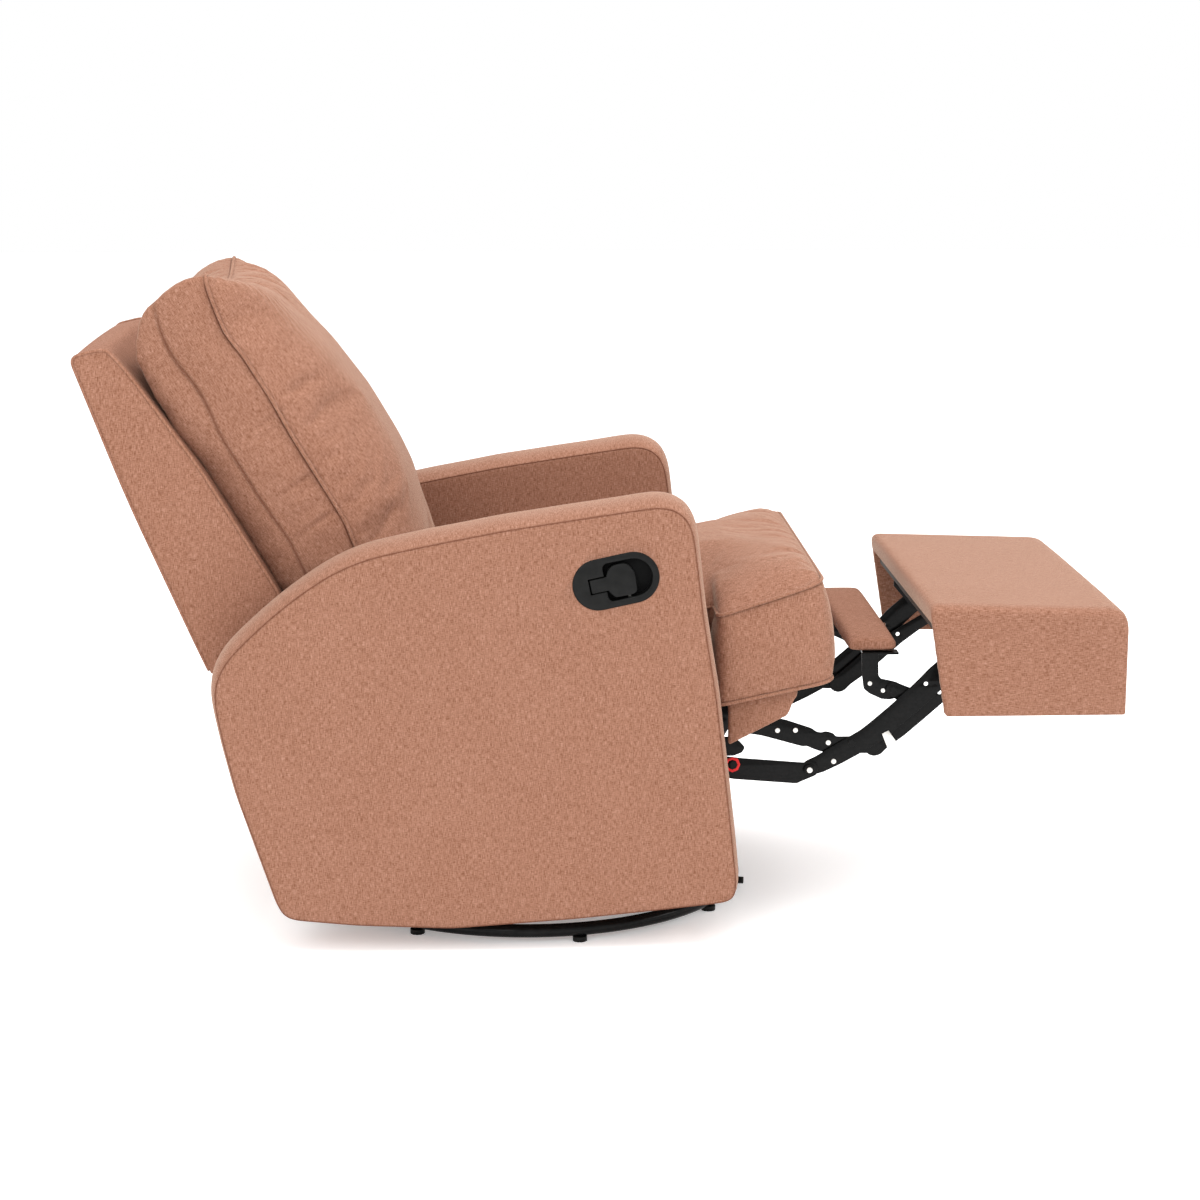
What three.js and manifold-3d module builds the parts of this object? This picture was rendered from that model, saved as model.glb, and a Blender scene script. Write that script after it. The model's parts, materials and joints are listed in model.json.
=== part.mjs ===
// Swivel glider recliner with its leg rest out and its body swung back, in millimetres, +Z up, +X forward.
// Side views are drawn in X and Z, with X measured from the swivel axis and Z from the floor.
import * as THREE from 'three';
import { mergeVertices } from 'three/addons/utils/BufferGeometryUtils.js';
import Module from 'manifold-3d';

const wasm = await Module();
wasm.setup();

// Driving dimensions
const fit = 0.3;
const cutOverrun = 5;
const arcFacets = 8;
const openPivotPlay = 1.9;

const armOuterFace = 362;
const armWidth = 118;
const armLength = 749;
const armHeight = 622;
const armRearReach = 458;
const armBottom = 37;
const armCrown = 9;
const panelCrown = 2;

const ringRadius = 320;
const ringTube = 10;
const padHeight = 8;
const padRadius = 11;
const padCount = 8;
const padStartAngle = 12;
const hubRadius = 100;
const hubTop = 31;
const spokeWidth = 28;
const spokeHeight = 10;
const spokeEndGap = 0.9;
const raceInner = 70;
const raceOuter = 98;
const raceHeight = 5;
const cageInner = 75;
const cageOuter = 93;
const cageHeight = 3;
const turntableThickness = 5;
const strapWidth = 40;
const strapPlace = 95;

const plate = 3;
const layerGap = 0.6;
const heavyPlate = 5;
const glidePlateInner = 136;
const glideTopHeight = 165;
const glideTopSpan = 260;
const glideTaper = 15;
const glideLink = 95;
const glideSwing = 14;
const glideEar = 14;
const glideUprightFoot = 75;
const linkThickness = 4;
const studRadius = 6;
const carriageRearReach = 222;
const carriageFront = 183;
const crossDepth = 25;
const crossHeight = 15;
const carriageRearHeight = 56;
const carriageFrontHeight = 45.5;
const railHeight = 30;

const rearPanelThickness = 20;
const rearPanelBottom = 95;
const rearPanelDrop = 72;
const rearPanelSetback = 24;
const rearPanelLeanShare = 0.263;

const backHingeReach = 330;
const backHingeDrop = 22.5;
const backHeight = 548;
const backReach = 330;
const backSideGap = 4;
const backEdge = 7;
const backCrown = 14;
const backNotchHeight = 65;
const backNotchDepth = 16;
const bracketThickness = 4;
const bracketLobe = 16;
const liftLength = 60;
const liftSetback = 25;
const liftHang = 62;
const liftLean = 50;

const pillowLean = 27.7;
const pillowSideGap = 8;
const pillowLow = 478;
const pillowHigh = 1078;
const pillowRearDepth = 77;
const pillowFrontSeam = 38;
const pillowCrown = 112;
const pillowBulge = 5;
const pillowTopDip = 20;
const pillowHornShare = 0.05;
const pillowRearShare = 0.9;
const channelCount = 5;
const channelPitch = 62;
const channelDepth = 7;

const seatRearReach = 170;
const earLength = 172;
const seatSideGap = 6;
const earSetback = 23;
const earHalfWidth = 311;
const earLeanShare = 0.128;
const seatCornerRadius = 24;
const seatLowHeight = 352.5;
const seatSlopeShare = 0.21;
const seatTopHeight = 481;
const seatTopSlopeShare = 0.265;
const seatTopCurveShare = 0.1525;
const seatCrown = 30;
const seatBulge = 7;
const seatGap = 0.5;
const deckThickness = 16;
const deckReach = 120;
const deckInset = 2;
const skirtInset = 21;
const skirtThickness = 14;
const apronDrop = 44;
const apronFrontShare = 0.8;

const seatHingeSetback = 6;
const seatHingeDrop = 34.5;
const mechanismReach = 445;
const mechanismRise = 175;
const mechanismSetback = 29;
const mechanismDrop = 119.5;
const mechanismInset = 37;
const barWidth = 36;
const longLinkWidth = 38;
const longLinkTip = 24;
const crossLinkWidth = 29;
const frontLinkWidth = 24;
const rivetRadius = 7;
const rivetHead = 1.6;
const torqueTube = 10;
const torqueTubeWall = 2;
const washerRadius = 12;
const washerBore = 7;
const washerPlace = 60;

const footrestLength = 290;
const footrestDepth = 163;
const footrestTop = 32;
const footrestFlap = 14;
const footrestRound = 18;
const footrestRiseOverPivot = 90;
const footrestRearOfPivot = 66;
const footrestRearLean = 26;
const boardThickness = 14;
const boardInset = 12;
const boardSideInset = 22;

const midPadLength = 71;
const midPadThickness = 23;
const midPadSideGap = 0.4;
const midPadRound = 8;
const midPadPivotShares = [0.679, 0.68];
const midPadRise = 56;
const midPadRear = 67;
const midFlange = 2.5;
const midFlangeWidth = 26;

const bezelLength = 124;
const bezelHeight = 73;
const bezelDepth = 22;
const bezelWall = 9;
const bezelFloor = 4;
const bezelPlace = 118;
const bezelDrop = 71;
const bezelTilt = 12;
const leverThickness = 8;
const leverStemWidth = 19;
const leverPaddleWidth = 46;
const leverPaddleLength = 42;
const leverSink = 2;
const fingerGap = 18;

// Places worked out from these: heights hang from the seat, widths from the arms
const armRear = -armRearReach;
const carriageRear = -carriageRearReach;
const glideLowSpan = glideTopSpan - 2 * glideTaper;
const seatRear = -seatRearReach;
const pillowRear = -pillowRearDepth;
const earRear = armRear + armLength - earSetback;
const seatFront = earRear + earLength;
const deckFront = earRear + deckReach;
const backHinge = [-backHingeReach, seatLowHeight - backHingeDrop];
const rearPanelTop = backHinge[1] - rearPanelDrop;
const seatHinge = [earRear - seatHingeSetback, seatLowHeight - seatHingeDrop];
const mechanismRear = earRear - mechanismSetback;
const mechanismLow = seatLowHeight - mechanismDrop;
const bezelCentre = [bezelPlace, armHeight - bezelDrop];
const armInnerFace = armOuterFace - armWidth;
const backHalfWidth = armInnerFace - backSideGap;
const pillowHalfWidth = armInnerFace - pillowSideGap;
const seatHalfWidth = armInnerFace - seatSideGap;
const deckHalfWidth = seatHalfWidth - deckInset;
const skirtHalfWidth = earHalfWidth - skirtInset;

// Layers of the mechanism, counted outward from the middle of the chair
const innerLayer = armInnerFace - mechanismInset;
const padLayer = [innerLayer - layerGap - plate, innerLayer - layerGap];
const frontLayer = [innerLayer, innerLayer + plate];
const crossLayer = [frontLayer[1] + layerGap, frontLayer[1] + layerGap + plate];
const longLayer = [crossLayer[1] + layerGap, crossLayer[1] + layerGap + plate];
const lowerLayer = [longLayer[1] + layerGap, longLayer[1] + layerGap + plate];
const railLayer = [lowerLayer[1] + plate + fit, lowerLayer[1] + plate + fit + bracketThickness];
const baseLayer = [armInnerFace - fit - bracketThickness, armInnerFace - fit];
const liftLayer = [railLayer[0] - layerGap - bracketThickness, railLayer[0] - layerGap];
const glidePlateLayer = [glidePlateInner, glidePlateInner + heavyPlate];
const glideLayer = [glidePlateLayer[1] + layerGap, glidePlateLayer[1] + layerGap + linkThickness];
const carriageLayer = [glideLayer[1] + layerGap, glideLayer[1] + layerGap + heavyPlate];

// Materials
const shade = (color, roughness, metalness) => ({ color, roughness, metalness });
const fabric = shade(0xc08a6e, 0.9, 0);
const steel = shade(0x141414, 0.35, 0.8);
const glossSteel = shade(0x0c0c0c, 0.2, 0.7);
const plastic = shade(0x171719, 0.45, 0);
const redPlastic = shade(0xb3201f, 0.4, 0);
const timber = shade(0xb08a5a, 0.75, 0);
const zinc = shade(0x9a9a98, 0.35, 1);

const chair = new THREE.Group();
const radians = THREE.MathUtils.degToRad;
const sides = [['left', 1], ['right', -1]];

function addPiece(name, geometry, look) {
  const mesh = new THREE.Mesh(geometry, new THREE.MeshStandardMaterial(look));
  mesh.name = name;
  chair.add(mesh);
}

// Solids: joining and cutting
function solid(geometry) {
  const bare = geometry.clone();
  bare.deleteAttribute('normal');
  bare.deleteAttribute('uv');
  const merged = mergeVertices(bare.index ? bare.toNonIndexed() : bare, 1e-4);
  return new wasm.Manifold(new wasm.Mesh({
    numProp: 3,
    vertProperties: new Float32Array(merged.attributes.position.array),
    triVerts: new Uint32Array(merged.index.array),
  }));
}

function surface(body) {
  const mesh = body.getMesh();
  const geometry = new THREE.BufferGeometry();
  const places = new Float32Array(mesh.vertProperties);
  geometry.setAttribute('position', new THREE.BufferAttribute(places, mesh.numProp));
  geometry.setIndex(new THREE.BufferAttribute(new Uint32Array(mesh.triVerts), 1));
  geometry.computeVertexNormals();
  return geometry;
}

const joined = (...parts) => surface(parts.map(solid).reduce((sum, part) => sum.add(part)));
const cutFrom = (whole, ...cuts) => {
  const rest = cuts.map(solid).reduce((left, cut) => left.subtract(cut), solid(whole));
  return surface(rest);
};

// Side profiles drawn in X and Z, extruded along Y
const layerOf = (layer, side) => (side > 0 ? layer : [-layer[1], -layer[0]]);

function shapeOf(points) {
  return !Array.isArray(points) ? points : new THREE.Shape(points.map(([x, z]) => new THREE.Vector2(x, z)));
}

function sideSlab(outline, [nearest, farthest], curveSegments = arcFacets / 2) {
  const options = { depth: farthest - nearest, bevelEnabled: false, curveSegments };
  return new THREE.ExtrudeGeometry(shapeOf(outline), options).rotateX(Math.PI / 2).translate(0, farthest, 0);
}

function box(xs, ys, zs) {
  const size = [xs, ys, zs].map(([low, high]) => high - low);
  const middle = [xs, ys, zs].map(([low, high]) => (low + high) / 2);
  return new THREE.BoxGeometry(...size).translate(...middle);
}

// A pin along Y
function pin([x, z], radius, [nearest, farthest], count = 10) {
  const length = farthest - nearest;
  return new THREE.CylinderGeometry(radius, radius, length, count).translate(x, (nearest + farthest) / 2, z);
}

// A round hole whose flats clear the radius given
function hole([x, z], radius) {
  return new THREE.Path().absarc(x, z, radius / Math.cos(Math.PI / arcFacets), 0, 2 * Math.PI, true);
}

// A flat bar round two pivots, wider or narrower at either end
function barShape(start, end, startRadius, endRadius) {
  const [dx, dz] = [end[0] - start[0], end[1] - start[1]];
  const along = Math.atan2(dz, dx);
  const lean = Math.acos((startRadius - endRadius) / Math.hypot(dx, dz));
  const shape = new THREE.Shape();
  shape.absarc(end[0], end[1], endRadius, along - lean, along + lean, false);
  shape.absarc(start[0], start[1], startRadius, along + lean, along - lean + 2 * Math.PI, false);
  shape.closePath();
  return shape;
}

function withHoles(shape, holes) {
  holes.forEach(([place, radius]) => shape.holes.push(hole(place, radius)));
  return shape;
}

const along = (start, end, share, offset = 0) => {
  const [dx, dz] = [end[0] - start[0], end[1] - start[1]];
  const length = Math.hypot(dx, dz);
  return [start[0] + dx * share - (dz / length) * offset, start[1] + dz * share + (dx / length) * offset];
};

const placed = (origin, size, shares) => (
  shares.map(([u, v]) => [origin[0] + u * size[0], origin[1] + v * size[1]]));

// Rounds each corner of an outline by its own radius, as a share of the largest
function rounded(points, radiusShares, largest, steps = 4) {
  const result = [];
  points.forEach((corner, index) => {
    const radius = radiusShares[index] * largest;
    if (radius === 0) {
      result.push(corner);
      return;
    }
    const here = new THREE.Vector2(...corner);
    const before = new THREE.Vector2(...points[(index + points.length - 1) % points.length]).sub(here);
    const after = new THREE.Vector2(...points[(index + 1) % points.length]).sub(here);
    const setback = Math.min(radius, before.length() * 0.48, after.length() * 0.48);
    const start = here.clone().add(before.setLength(setback));
    const end = here.clone().add(after.setLength(setback));
    const curve = new THREE.QuadraticBezierCurve(start, here, end);
    curve.getPoints(steps).forEach(({ x, y }) => result.push([x, y]));
  });
  return result;
}

// Outward direction at each point of a closed outline that runs counter-clockwise
function outward(points) {
  return points.map((_, index) => {
    const before = points[(index + points.length - 1) % points.length];
    const after = points[(index + 1) % points.length];
    const [dx, dy] = [after[0] - before[0], after[1] - before[1]];
    const length = Math.hypot(dx, dy);
    return [dy / length, -dx / length];
  });
}

// A closed body through rings of points with as many points each, capped at both ends
function loft(rings, capPoints) {
  const count = rings[0].length;
  const positions = rings.flat(2);
  const index = [];
  for (let ring = 0; ring + 1 < rings.length; ring += 1) {
    const [here, beyond] = [ring * count, (ring + 1) * count];
    for (let step = 0; step < count; step += 1) {
      const next = (step + 1) % count;
      index.push(here + step, here + next, beyond + next, here + step, beyond + next, beyond + step);
    }
  }
  const cap = THREE.ShapeUtils.triangulateShape(capPoints.map(([x, y]) => new THREE.Vector2(x, y)), []);
  const last = (rings.length - 1) * count;
  cap.forEach(([a, b, c]) => {
    index.push(a, c, b);
    index.push(last + a, last + b, last + c);
  });
  const geometry = new THREE.BufferGeometry();
  geometry.setAttribute('position', new THREE.BufferAttribute(new Float32Array(positions), 3));
  geometry.setIndex(index);
  geometry.computeVertexNormals();
  return geometry;
}

function middleOf(points) {
  const box2 = new THREE.Box2().setFromPoints(points.map(([x, z]) => new THREE.Vector2(x, z)));
  const centre = box2.getCenter(new THREE.Vector2());
  return [centre.x, centre.y];
}

// Upholstered body along Y: stations hold a place across the width, an outward swell and a scale to the middle
function upholstered(outline, stations, weight) {
  const normals = outward(outline);
  const middle = middleOf(outline);
  const ring = ({ y, swell, scale }) => outline.map(([x, z], index) => {
    const push = swell * weight(normals[index]);
    const px = middle[0] + (x + normals[index][0] * push - middle[0]) * scale;
    const pz = middle[1] + (z + normals[index][1] * push - middle[1]) * scale;
    return [px, y, pz];
  });
  return loft(stations.map(ring).reverse(), outline);
}

// Base: ring, pads, cross, races and turntable
function buildBase() {
  const ringHeight = padHeight + ringTube;
  const section = new THREE.Path().absarc(ringRadius, ringHeight, ringTube, 0, 2 * Math.PI).getPoints(5);
  section[section.length - 1].copy(section[0]);
  addPiece('base_ring', new THREE.LatheGeometry(section, 44).rotateX(Math.PI / 2), glossSteel);
  for (let step = 0; step < padCount; step += 1) {
    const angle = radians(padStartAngle) + (step * 2 * Math.PI) / padCount;
    const pad = new THREE.CylinderGeometry(padRadius, padRadius, padHeight - fit, 12);
    pad.rotateX(Math.PI / 2).translate(ringRadius, 0, (padHeight - fit) / 2).rotateZ(angle);
    addPiece(`floor_pad_${step + 1}`, pad, plastic);
  }
  const spokeReach = ringRadius - ringTube - spokeEndGap;
  const spokeBottom = ringHeight - spokeHeight / 2;
  const spokes = [radians(45), radians(135)].map((angle) => {
    const spoke = new THREE.BoxGeometry(2 * spokeReach, spokeWidth, spokeHeight);
    return spoke.translate(0, 0, spokeBottom + spokeHeight / 2).rotateZ(angle);
  });
  const hub = new THREE.CylinderGeometry(hubRadius, hubRadius, hubTop - spokeBottom, 24).rotateX(Math.PI / 2);
  hub.translate(0, 0, (hubTop + spokeBottom) / 2);
  addPiece('base_cross', joined(...spokes, hub), glossSteel);

  const race = (name, inner, outer, bottom, height, look) => {
    const profile = [[inner, 0], [outer, 0], [outer, height], [inner, height], [inner, 0]];
    const points = profile.map(([radius, rise]) => new THREE.Vector2(radius, bottom + rise));
    addPiece(name, new THREE.LatheGeometry(points, 20).rotateX(Math.PI / 2), look);
  };
  const cageBottom = hubTop + fit + raceHeight + fit;
  const upperRaceBottom = cageBottom + cageHeight + fit;
  race('lower_race', raceInner, raceOuter, hubTop + fit, raceHeight, zinc);
  race('ball_cage', cageInner, cageOuter, cageBottom, cageHeight, zinc);
  race('upper_race', raceInner, raceOuter, upperRaceBottom, raceHeight, zinc);
  return upperRaceBottom + raceHeight + fit;
}

// Glider: the turntable's side plates hold four hanging links, which hold the carriage under the body
function circleMeet(first, firstRadius, second, secondRadius) {
  const [dx, dz] = [second[0] - first[0], second[1] - first[1]];
  const apart = Math.hypot(dx, dz);
  const reach = (firstRadius ** 2 - secondRadius ** 2 + apart ** 2) / (2 * apart);
  const rise = Math.sqrt(firstRadius ** 2 - reach ** 2);
  return [first[0] + (dx * reach - dz * rise) / apart, first[1] + (dz * reach + dx * rise) / apart];
}

function buildGlider(turntableBottom) {
  const straps = [-1, 1].map((end) => box(
    [end * strapPlace - strapWidth / 2, end * strapPlace + strapWidth / 2],
    [-glidePlateLayer[1], glidePlateLayer[1]],
    [turntableBottom, turntableBottom + turntableThickness],
  ));
  const disc = new THREE.CylinderGeometry(hubRadius, hubRadius, turntableThickness, 24).rotateX(Math.PI / 2);
  disc.translate(0, 0, turntableBottom + turntableThickness / 2);
  addPiece('swivel_plate', joined(disc, ...straps), steel);

  const foot = turntableBottom + turntableThickness + fit;
  const top = [[glideTopSpan / 2, glideTopHeight], [-glideTopSpan / 2, glideTopHeight]];
  const inward = (glideTopSpan - glideLowSpan) / 2;
  const restAngle = -Math.PI / 2 - Math.asin(inward / glideLink) - radians(glideSwing);
  const lowFront = [top[0][0] + glideLink * Math.cos(restAngle), top[0][1] + glideLink * Math.sin(restAngle)];
  const lowRear = circleMeet(lowFront, glideLowSpan, top[1], glideLink);
  const low = [lowFront, lowRear];

  const standing = strapPlace + strapWidth / 2;
  const inside = glideTopSpan / 2 - glideEar;
  const side = new THREE.Shape();
  side.moveTo(-standing, foot);
  side.lineTo(standing, foot);
  side.lineTo(standing, foot + glideUprightFoot - glideEar);
  side.absarc(top[0][0], glideTopHeight, glideEar, 0, Math.PI, false);
  side.lineTo(inside - glideEar, glideUprightFoot);
  side.lineTo(glideEar - inside, glideUprightFoot);
  side.absarc(top[1][0], glideTopHeight, glideEar, 0, Math.PI, false);
  side.closePath();
  sides.forEach(([name, sign]) => {
    const studLayer = layerOf([glidePlateLayer[1] - layerGap, glideLayer[1] + fit], sign);
    const studs = top.map((place) => pin(place, studRadius, studLayer));
    addPiece(`glider_side_${name}`, joined(sideSlab(side, layerOf(glidePlateLayer, sign)), ...studs), steel);
    ['front', 'rear'].forEach((end, index) => {
      const shape = withHoles(barShape(top[index], low[index], glideEar, glideEar - fit), [
        [top[index], studRadius + fit],
        [low[index], studRadius + fit + index * openPivotPlay],
      ]);
      addPiece(`glide_link_${end}_${name}`, sideSlab(shape, layerOf(glideLayer, sign)), steel);
    });
    const railOutline = [
      [carriageRear + crossDepth + fit, carriageRearHeight],
      [carriageFront - crossDepth - fit, carriageFrontHeight],
      [carriageFront - crossDepth - fit, carriageFrontHeight + crossHeight],
      [low[0][0] + glideEar, low[0][1] + glideEar],
      [low[0][0] - glideEar, low[0][1] + glideEar],
      [low[1][0], low[1][1] + glideEar],
      [low[1][0] - glideEar, low[1][1] + glideEar],
      [carriageRear + crossDepth + fit, carriageRearHeight + crossHeight],
    ];
    const pinLayer = layerOf([glideLayer[0] - fit, carriageLayer[0] + layerGap], sign);
    const pins = low.map((place) => pin(place, studRadius, pinLayer));
    const rail = sideSlab(railOutline, layerOf(carriageLayer, sign));
    addPiece(`carriage_rail_${name}`, joined(rail, ...pins), steel);
  });
  const acrossArms = [fit - armInnerFace, armInnerFace - fit];
  addPiece('carriage_cross_front', box(
    [carriageFront - crossDepth, carriageFront],
    acrossArms,
    [carriageFrontHeight, carriageFrontHeight + crossHeight],
  ), steel);
  addPiece('carriage_cross_rear', box(
    [carriageRear, carriageRear + crossDepth],
    acrossArms,
    [carriageRearHeight, carriageRearHeight + crossHeight],
  ), steel);
}

// Arms: padded side panels with a rolling lower edge and a curve that drops behind the back
const armCornerShares = [
  [0.1255, 0.0289], [0.267, 0.0096], [0.451, 0], [0.69, 0.0193], [0.844, 0.037], [0.999, 0.0579], [1, 0.1093],
  [0.983, 0.304], [0.96, 0.544], [0.936, 0.733], [0.9, 1.009], [0.662, 0.962], [0.549, 0.942], [0.415, 0.9116],
  [0.256, 0.872], [0.118, 0.756], [-0.008, 0.605], [0.02, 0.437], [0.0454, 0.318],
];
const armRoundShares = [0.1, 0, 0, 0, 0, 0.12, 0, 0, 0, 0, 0.42, 0, 0, 0, 0.75, 0.6, 0.5, 0, 0];
const armRoundLargest = 130;

const boxingShares = [[0, 0], [0.07, 0.55], [0.25, 0.92], [0.5, 1], [0.75, 0.92], [0.93, 0.55], [1, 0]];
const panelShares = [[0.4, 0.955], [0.85, 0.82], [1, 0.55]];

function bezelPoint([p, q]) {
  const [cos, sin] = [Math.cos(radians(bezelTilt)), Math.sin(radians(bezelTilt))];
  return [bezelCentre[0] + p * cos - q * sin, bezelCentre[1] + p * sin + q * cos];
}

function stadium(length, height) {
  const end = (length - height) / 2;
  return barShape(bezelPoint([-end, 0]), bezelPoint([end, 0]), height / 2, height / 2);
}

function localRect([p0, p1], [q0, q1]) {
  return [[p0, q0], [p1, q0], [p1, q1], [p0, q1]].map(bezelPoint);
}

function buildArms() {
  const corners = placed([armRear, armBottom], [armLength, armHeight], armCornerShares);
  const outline = rounded(corners, armRoundShares, armRoundLargest, 3);
  const weight = ([nx, nz]) => THREE.MathUtils.clamp(nx * 0.6 + nz * 0.8 + 0.3, 0, 1);
  const stations = [
    ...boxingShares.map(([across, rise]) => (
      { y: armInnerFace + across * armWidth, swell: armCrown * rise, scale: 1 })),
    ...panelShares.map(([rise, scale]) => ({ y: armOuterFace + panelCrown * rise, swell: 0, scale })),
  ];
  const arm = upholstered(outline, stations, weight);
  addPiece('arm_left', arm, fabric);
  const mirrored = surface(solid(arm).mirror([0, 1, 0]));
  const pocket = sideSlab(
    stadium(bezelLength + 2 * fit, bezelHeight + 2 * fit),
    [-armOuterFace - panelCrown - cutOverrun, bezelDepth + fit - armOuterFace - panelCrown],
    10,
  );
  addPiece('arm_right', cutFrom(mirrored, pocket), fabric);
}

// Release handle: a dished bezel let into the right arm, with a T-shaped lever in it
function buildHandle() {
  const face = -armOuterFace - panelCrown;
  const cup = sideSlab(stadium(bezelLength, bezelHeight), [face, face + bezelDepth], 10);
  const dishReach = bezelLength / 2 - bezelWall;
  const dishRadius = bezelHeight / 2 - bezelWall;
  const paddleRear = dishReach - fingerGap - leverPaddleLength;
  const dishShape = barShape(
    bezelPoint([paddleRear + dishRadius - fit * 2, 0]),
    bezelPoint([dishReach - dishRadius, 0]),
    dishRadius,
    dishRadius,
  );
  const cutLayer = [face - cutOverrun, face + bezelDepth - bezelFloor];
  const dish = sideSlab(dishShape, cutLayer, 8);
  const slotHalf = leverStemWidth / 2 + fit;
  const slot = sideSlab(localRect([-dishReach, dishReach / 2], [-slotHalf, slotHalf]), cutLayer);
  addPiece('handle_bezel', cutFrom(cup, dish, slot), plastic);

  const stemEnds = [leverThickness / 4 - dishReach, paddleRear + 2 * leverThickness];
  const stem = localRect(stemEnds, [-leverStemWidth / 2, leverStemWidth / 2]);
  const half = leverPaddleWidth / 2;
  const paddleCorners = localRect([paddleRear + leverThickness, paddleRear + leverPaddleLength], [-half, half]);
  const paddle = rounded(paddleCorners, [1, 1, 1, 1], leverThickness, 3);
  const leverLayer = [face + leverSink, face + leverSink + leverThickness];
  addPiece('handle_lever', joined(sideSlab(stem, leverLayer), sideSlab(paddle, leverLayer)), plastic);
}

// A covered panel closes the rear between the two arms
function buildRearPanel() {
  const across = [fit - armInnerFace, armInnerFace - fit];
  const leanAt = (z) => backHinge[0] - rearPanelSetback - rearPanelLeanShare * (z - rearPanelBottom);
  const panelOutline = [
    [leanAt(rearPanelBottom) - rearPanelThickness, rearPanelBottom],
    [leanAt(rearPanelBottom), rearPanelBottom],
    [leanAt(rearPanelTop), rearPanelTop],
    [leanAt(rearPanelTop) - rearPanelThickness, rearPanelTop],
  ];
  addPiece('rear_panel', sideSlab(panelOutline, across), fabric);
}

// Back: a padded wedge on two hinged brackets, with a deep loose pillow in front
const backCornerShares = [
  [-0.303, -0.055], [-0.052, 0.012], [0, 0.16], [-0.13, 0.338], [-0.455, 0.668], [-0.761, 0.935],
  [-0.8545, 0.9945], [-0.997, 0.969], [-0.764, 0.5894], [-0.4455, 0.1405],
];
const backRoundShares = [0.6, 0.6, 0.3, 0, 0, 0, 0.35, 0.35, 0, 0];
const backRoundLargest = 30;
const backKnee = 3;

function buildBack() {
  const corners = placed(backHinge, [backReach, backHeight], backCornerShares);
  const outline = rounded(corners, backRoundShares, backRoundLargest, 3);
  const weight = ([nx, nz]) => THREE.MathUtils.clamp(nz * 1.4 - 0.4 * (Math.abs(nx) + Math.max(0, nx)), 0, 1);
  const half = backHalfWidth;
  const crownPlaces = [-1, -0.97, -0.86, -0.6, 0, 0.6, 0.86, 0.97, 1];
  const swellAt = (share) => backCrown * (1 - share ** 2) + (Math.abs(share) === 1 ? -backEdge : 0);
  const stations = crownPlaces.map((share) => ({ y: half * share, swell: swellAt(share), scale: 1 }));
  const wedge = upholstered(outline, stations, weight);
  const notchReach = [backHinge[0] - backReach, backHinge[0] + backReach];
  const notchRise = [backHinge[1] - backHeight / 2, backHinge[1] + backNotchHeight];
  const tongue = half - backNotchDepth;
  const notchLayer = [tongue, half + cutOverrun];
  const notches = sides.map(([, sign]) => box(notchReach, layerOf(notchLayer, sign), notchRise));
  addPiece('back_frame', cutFrom(wedge, ...notches), fabric);

  const liftTop = [backHinge[0] - liftSetback, backHinge[1] - liftHang];
  const lean = radians(liftLean);
  const liftFoot = [liftTop[0] + liftLength * Math.cos(lean), liftTop[1] - liftLength * Math.sin(lean)];
  const notchTop = notchRise[1] - fit;
  const bracketRear = backHinge[0] - backReach / 3;
  const layer = [tongue + fit, tongue + fit + bracketThickness];
  const bracketOutline = [
    [liftTop[0] - bracketLobe, liftTop[1] - bracketLobe],
    [liftTop[0] + bracketLobe, liftTop[1] - bracketLobe],
    [backHinge[0] + bracketLobe, backHinge[1] - bracketLobe],
    [backHinge[0] + bracketLobe, backHinge[1] + bracketLobe],
    [backHinge[0] - bracketLobe / 2, notchTop],
    [bracketRear, notchTop],
    [bracketRear, notchTop - backNotchHeight / 2],
    [backHinge[0] - bracketLobe * 2, backHinge[1]],
  ];
  sides.forEach(([name, sign]) => {
    const bracketCurve = rounded(bracketOutline, [1, 1, 1, 1, 0, 0, 0, 0], bracketLobe / 2, 2);
    const bracketShape = withHoles(shapeOf(bracketCurve), [
      [backHinge, studRadius + fit],
      [liftTop, studRadius + fit],
    ]);
    addPiece(`back_bracket_${name}`, sideSlab(bracketShape, layerOf(layer, sign)), steel);
    const footHole = [liftFoot, studRadius + fit + openPivotPlay];
    const link = withHoles(barShape(liftTop, liftFoot, glideEar, glideEar), [footHole]);
    const linkBody = sideSlab(link, layerOf(liftLayer, sign));
    const stud = pin(liftTop, studRadius, layerOf([liftLayer[1] - layerGap, layer[1]], sign));
    addPiece(`seat_lift_link_${name}`, joined(linkBody, stud), steel);
  });
  return liftFoot;
}

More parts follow.
